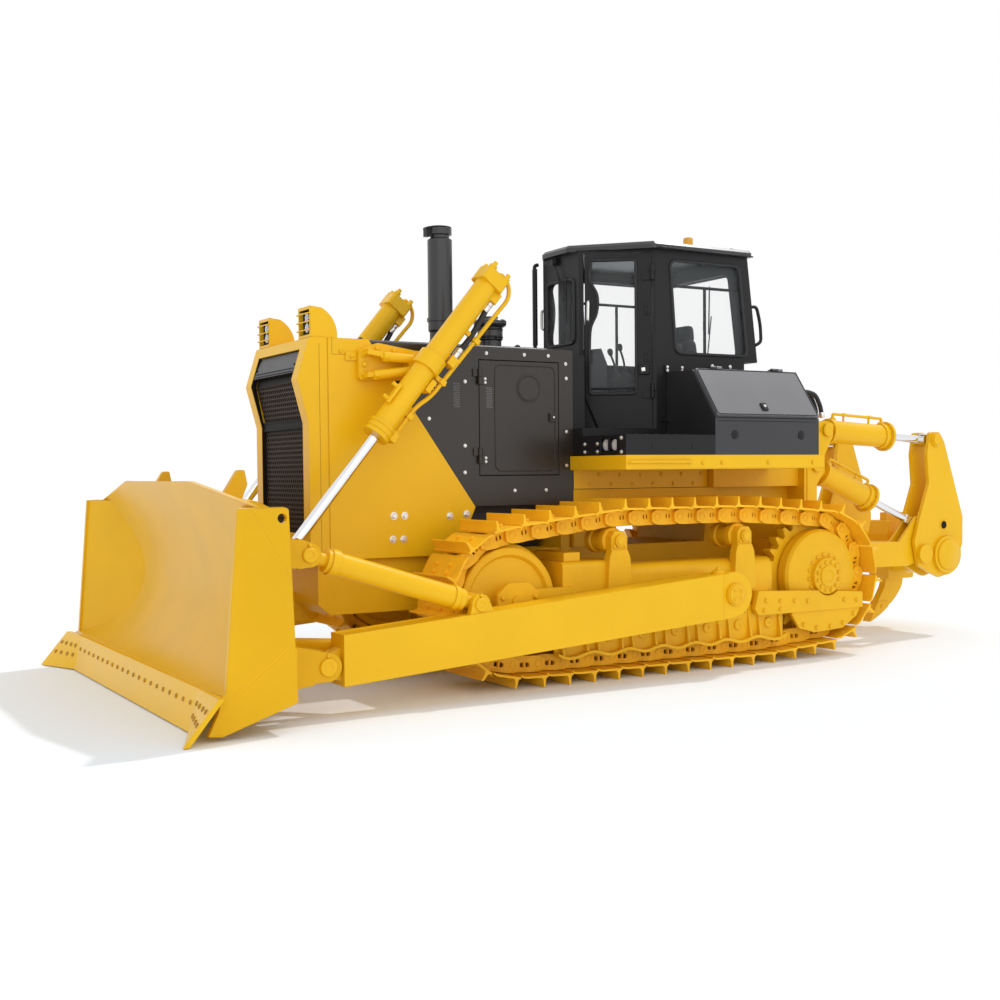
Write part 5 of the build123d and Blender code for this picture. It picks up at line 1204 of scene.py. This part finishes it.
pair("step_treads", black_enamel, rounding=1.0)

bowl = ((46, 0), (46, 18), (41, 18), (22, 8), (10, 12), (0, 13))
lamps("work_lamp_bowls", lamp_bowl, STEP_FRONT_X - 33, WORK_LAMPS, bowl, 30)
cover = ((45, 0), (45, 4), (32, 9), (14, 12), (0, 13))
lamps("work_lamp_covers", lamp_glass, STEP_FRONT_X - 15, WORK_LAMPS, cover, 30)

for y, z in ((780, 1850), (780, 1786), (1290, 1780), (1290, 1890), (960, 1850), (960, 1786)):
    bolt((STEP_FRONT_X - 1, y, z), AHEAD, 22)
pair("step_bolts", zinc_plate)

rail = ((2130, -4), (2130, 22), (1530, 22), (1530, -4))
tube(cornered([(x, FENDER_FACE_Y + out, 1700) for x, out in rail], 20), 12, 12)
for x in (2130, 1530):
    turned((x, FENDER_FACE_Y - 2, 1700), OUTWARD, ((24, 0), (24, 6), (18, 8)), 18)
side_bolts(FENDER_FACE_Y - 1, 24, (200, 1690), (700, 1690), (1200, 1690), (1400, 1690))
block((70, 2155), (FENDER_FACE_Y - 3, FENDER_FACE_Y + 1.5), (1644, 1650))
pair("fender_rails", yellow_enamel)

LID_TOP = Vector((0, 1050, 2470))
LID_WAY = Vector((0, 300, -415)).normalized()
LID_OUT = Vector((0, 415, 300)).normalized()
LID_THICK = 31


def on_lid(side, out, *places):
    # Places along the lid and down its slope, raised from its skin.
    spots = [(x, LID_TOP + LID_WAY * down + LID_OUT * (LID_THICK + out)) for x, down in places]
    return [Vector((x, side * spot.y, spot.z)) for x, spot in spots]


for side, hand in SIDES:
    lid, outward = f"box_lid_{hand}", (0, side * LID_OUT.y, LID_OUT.z)
    loft([on_lid(side, out, (688, 376), (748, 376), (748, 450), (688, 450)) for out in (-1, 12)])
    hoop(on_lid(side, 0, (150, 20), (1246, 20), (1246, 492), (150, 492)), 30, 5, 8)
    piece(f"box_lid_latch_{hand}", black_enamel, lid, 2.0)
    turned(*on_lid(side, 11, (718, 412)), outward, ((14, 0), (14, 8), (10, 11)), 18)
    piece(f"box_lid_lock_{hand}", zinc_plate, lid)
print("deck fitted")

# %% [markdown]
# Behind the cab the tank has a locked filler cap, a cover plate and straps. Two hoses on each side run
# from the valves to the ripper's tipping cylinders, and short pipes with clamps lie along all four
# cylinders. Every cylinder collar has a ring of bolts.

# %% Tank
cap = ((66, 0), (66, 26), (78, 28), (78, 48), (68, 56), (20, 58), (0, 58))
turned((120, 330, 2438), UP, cap, 36)
tube(cornered([(120, 262, 2488), (120, 262, 2516), (120, 398, 2516), (120, 398, 2488)], 20), 8, 8)
for y in (-300, 300):
    strap = [(-244, y, 1660), (-244, y, 2296), (-122, y, 2444), (240, y, 2444)]
    for ends in zip(strap, strap[1:]):
        tube(ends, 8, 6)
for z in (1720, 1980, 2240):
    for y in (-500, -380, 380, 500):
        bolt((-239, y, z), BEHIND, 22)
block((-252, -238), (-60, 60), (1760, 2200))
piece("tank_fittings", black_enamel, rounding=1.5)

# %% Ripper cylinders
RIPPER_Y = 610.0
RIPPER_TOP = (Vector((-571, RIPPER_Y, 1992)), Vector((-2020, RIPPER_Y, 1910)))
RIPPER_LIFT = (Vector((-440, RIPPER_Y, 1663)), Vector((-1840, RIPPER_Y, 1092)))


def cylinder_dress(name, body, line, start, length):
    # Collar bolts, port blocks, a pipe with clamps and grease plugs on one pair of cylinders.
    way = (line[1] - line[0]).normalized()
    up = Vector((-way.z, 0, way.x))
    if up.z < 0:
        up = -up

    def on(along, out=0.0):
        return line[0] + way * along + up * out

    near, far = start + 70, length - 62
    bolt_ring(on(length - 30), -way, 125, 10, 20)
    bolt_ring(on(length), way, 118, 10, 20)
    for along in (near, far):
        turned(on(along, 96), up, ((32, 0), (32, 30), (26, 36)), 20)
    tube(cornered([on(near, 128), on(near, 168), on(far, 168), on(far, 130)], 50), 14, 12)
    for along in (start + 210, length - 230):
        tube([on(along, 100), on(along, 170)], 10, 8)
        turned(on(along, 156), up, ((24, 0), (24, 26), (20, 28)), 12)
    pair(name, yellow_enamel, body)


cylinder_dress("ripper_pitch_pipes", "ripper_pitch_barrels", RIPPER_TOP, 115, 885)
cylinder_dress("ripper_lift_pipes", "ripper_lift_barrels", RIPPER_LIFT, 175, 850)

HOSES_ASIDE = (-34, 34)
HOSE_ARCH = ((-236, 520, 2130), (-330, 560, 2330), (-480, RIPPER_Y, 2330), (-560, RIPPER_Y, 2240),
             (-590, RIPPER_Y, 2150))
for aside in HOSES_ASIDE:
    tube(flowing([(x, y + aside, z) for x, y, z in HOSE_ARCH]), 21, 12)
pair("ripper_hoses", hose_rubber)
for aside in HOSES_ASIDE:
    turned((-590, RIPPER_Y + aside, 2155), (-0.1, 0, -1), ((24, -6), (26, 0), (26, 40), (22, 46)), 16)
    turned((-236, 520 + aside, 2130), (-0.4, 0, 1), ((26, -10), (26, 30), (22, 36)), 16)
pair("ripper_hose_ends", zinc_plate)
print("ripper piped")

# %% [markdown]
# The ripper's frame and bracket carry the heavy pins that hold everything together, and the shank ends
# in a hard point that slides over it and is held by a cross pin.

# %% Ripper frame and shank
LOCK_BORE = (-2145, 729, 1070)
LOCK_RADIUS = 46
turned((-2175, 760, 777), OUTWARD, ((150, 0), (150, 16), (138, 24), (0, 30)), 44)
turned((-2020, 744, 1910), OUTWARD, ((52, 0), (52, 16), (44, 22), (0, 22)), 28)
tube(circle(LOCK_BORE, AHEAD, UP, LOCK_RADIUS, 36), 8, 10, closed=True)
both_sides()
for z in (640, 760, 880, 1000):
    bolt((-2300, 133, z), OUTWARD, 26)
    bolt((-2300, -133, z), INWARD, 26)
turned((-2200, 130, 820), OUTWARD, ((54, 0), (54, 30), (46, 36), (0, 36)), 28)
turned((-2200, -130, 820), INWARD, ((54, 0), (54, 20), (46, 26), (0, 26)), 28)
piece("ripper_frame_pins", yellow_enamel, "ripper_frame", 1.5)
# A dark disc in each lock bore paints the shade inside the hole.
turned(LOCK_BORE, OUTWARD, ((LOCK_RADIUS, -1), (LOCK_RADIUS, 2), (40, 3), (36, 1.5), (0, 1.5)), 32)
pair("ripper_lock_bore_shade", mesh_black_and_shade, "ripper_frame")

for x, z in ((-600, 809), (-571, 1992), (-440, 1663)):
    for way in (1, -1):
        turned((x, RIPPER_Y + way * 133, z), (0, way, 0), ((58, 0), (58, 12), (50, 18), (0, 18)), 28)
        bolt((x + 70, RIPPER_Y + way * 117, z), (0, way, 0), 20)
both_sides()
for y in (-372, -252, 252, 372):
    for z in (560, 1200, 1400):
        bolt((-339, y, z), BEHIND, 30)
piece("ripper_bracket_pins", yellow_enamel, rounding=1.5)

tooth = ((-1928, 214), (-1838, 62), (-1862, 66), (-1996, 132), (-2110, 206), (-2100, 262), (-1962, 268))
plate(tooth, "y", -52, 52)
for way in (1, -1):
    turned((-2012, way * 51, 212), (0, way, 0), ((20, 0), (20, 8), (14, 12)), 18)
piece("ripper_tooth", frame_paint, "ripper_frame", 6.0)
print("ripper ready")

# %% [markdown]
# Under the platform the body is closed by yellow side plates, bent over the ledge of the frame and held
# by two rows of bolts. They are seen in the gap above the upper run of the track.

# %% Body plates under the platform
bent = ((559, 1484), (563, 1484), (563, 1645), (495, 1645), (495, 1752), (491, 1752), (491, 1641),
        (559, 1641))
plate(bent, "x", 704, 2128)
for x in range(780, 2100, 220):
    side_bolts(562, 22, (x, 1600), (x + 90, 1520))
pair("body_side_plates", yellow_enamel, rounding=1.5)
print("body plates fitted")
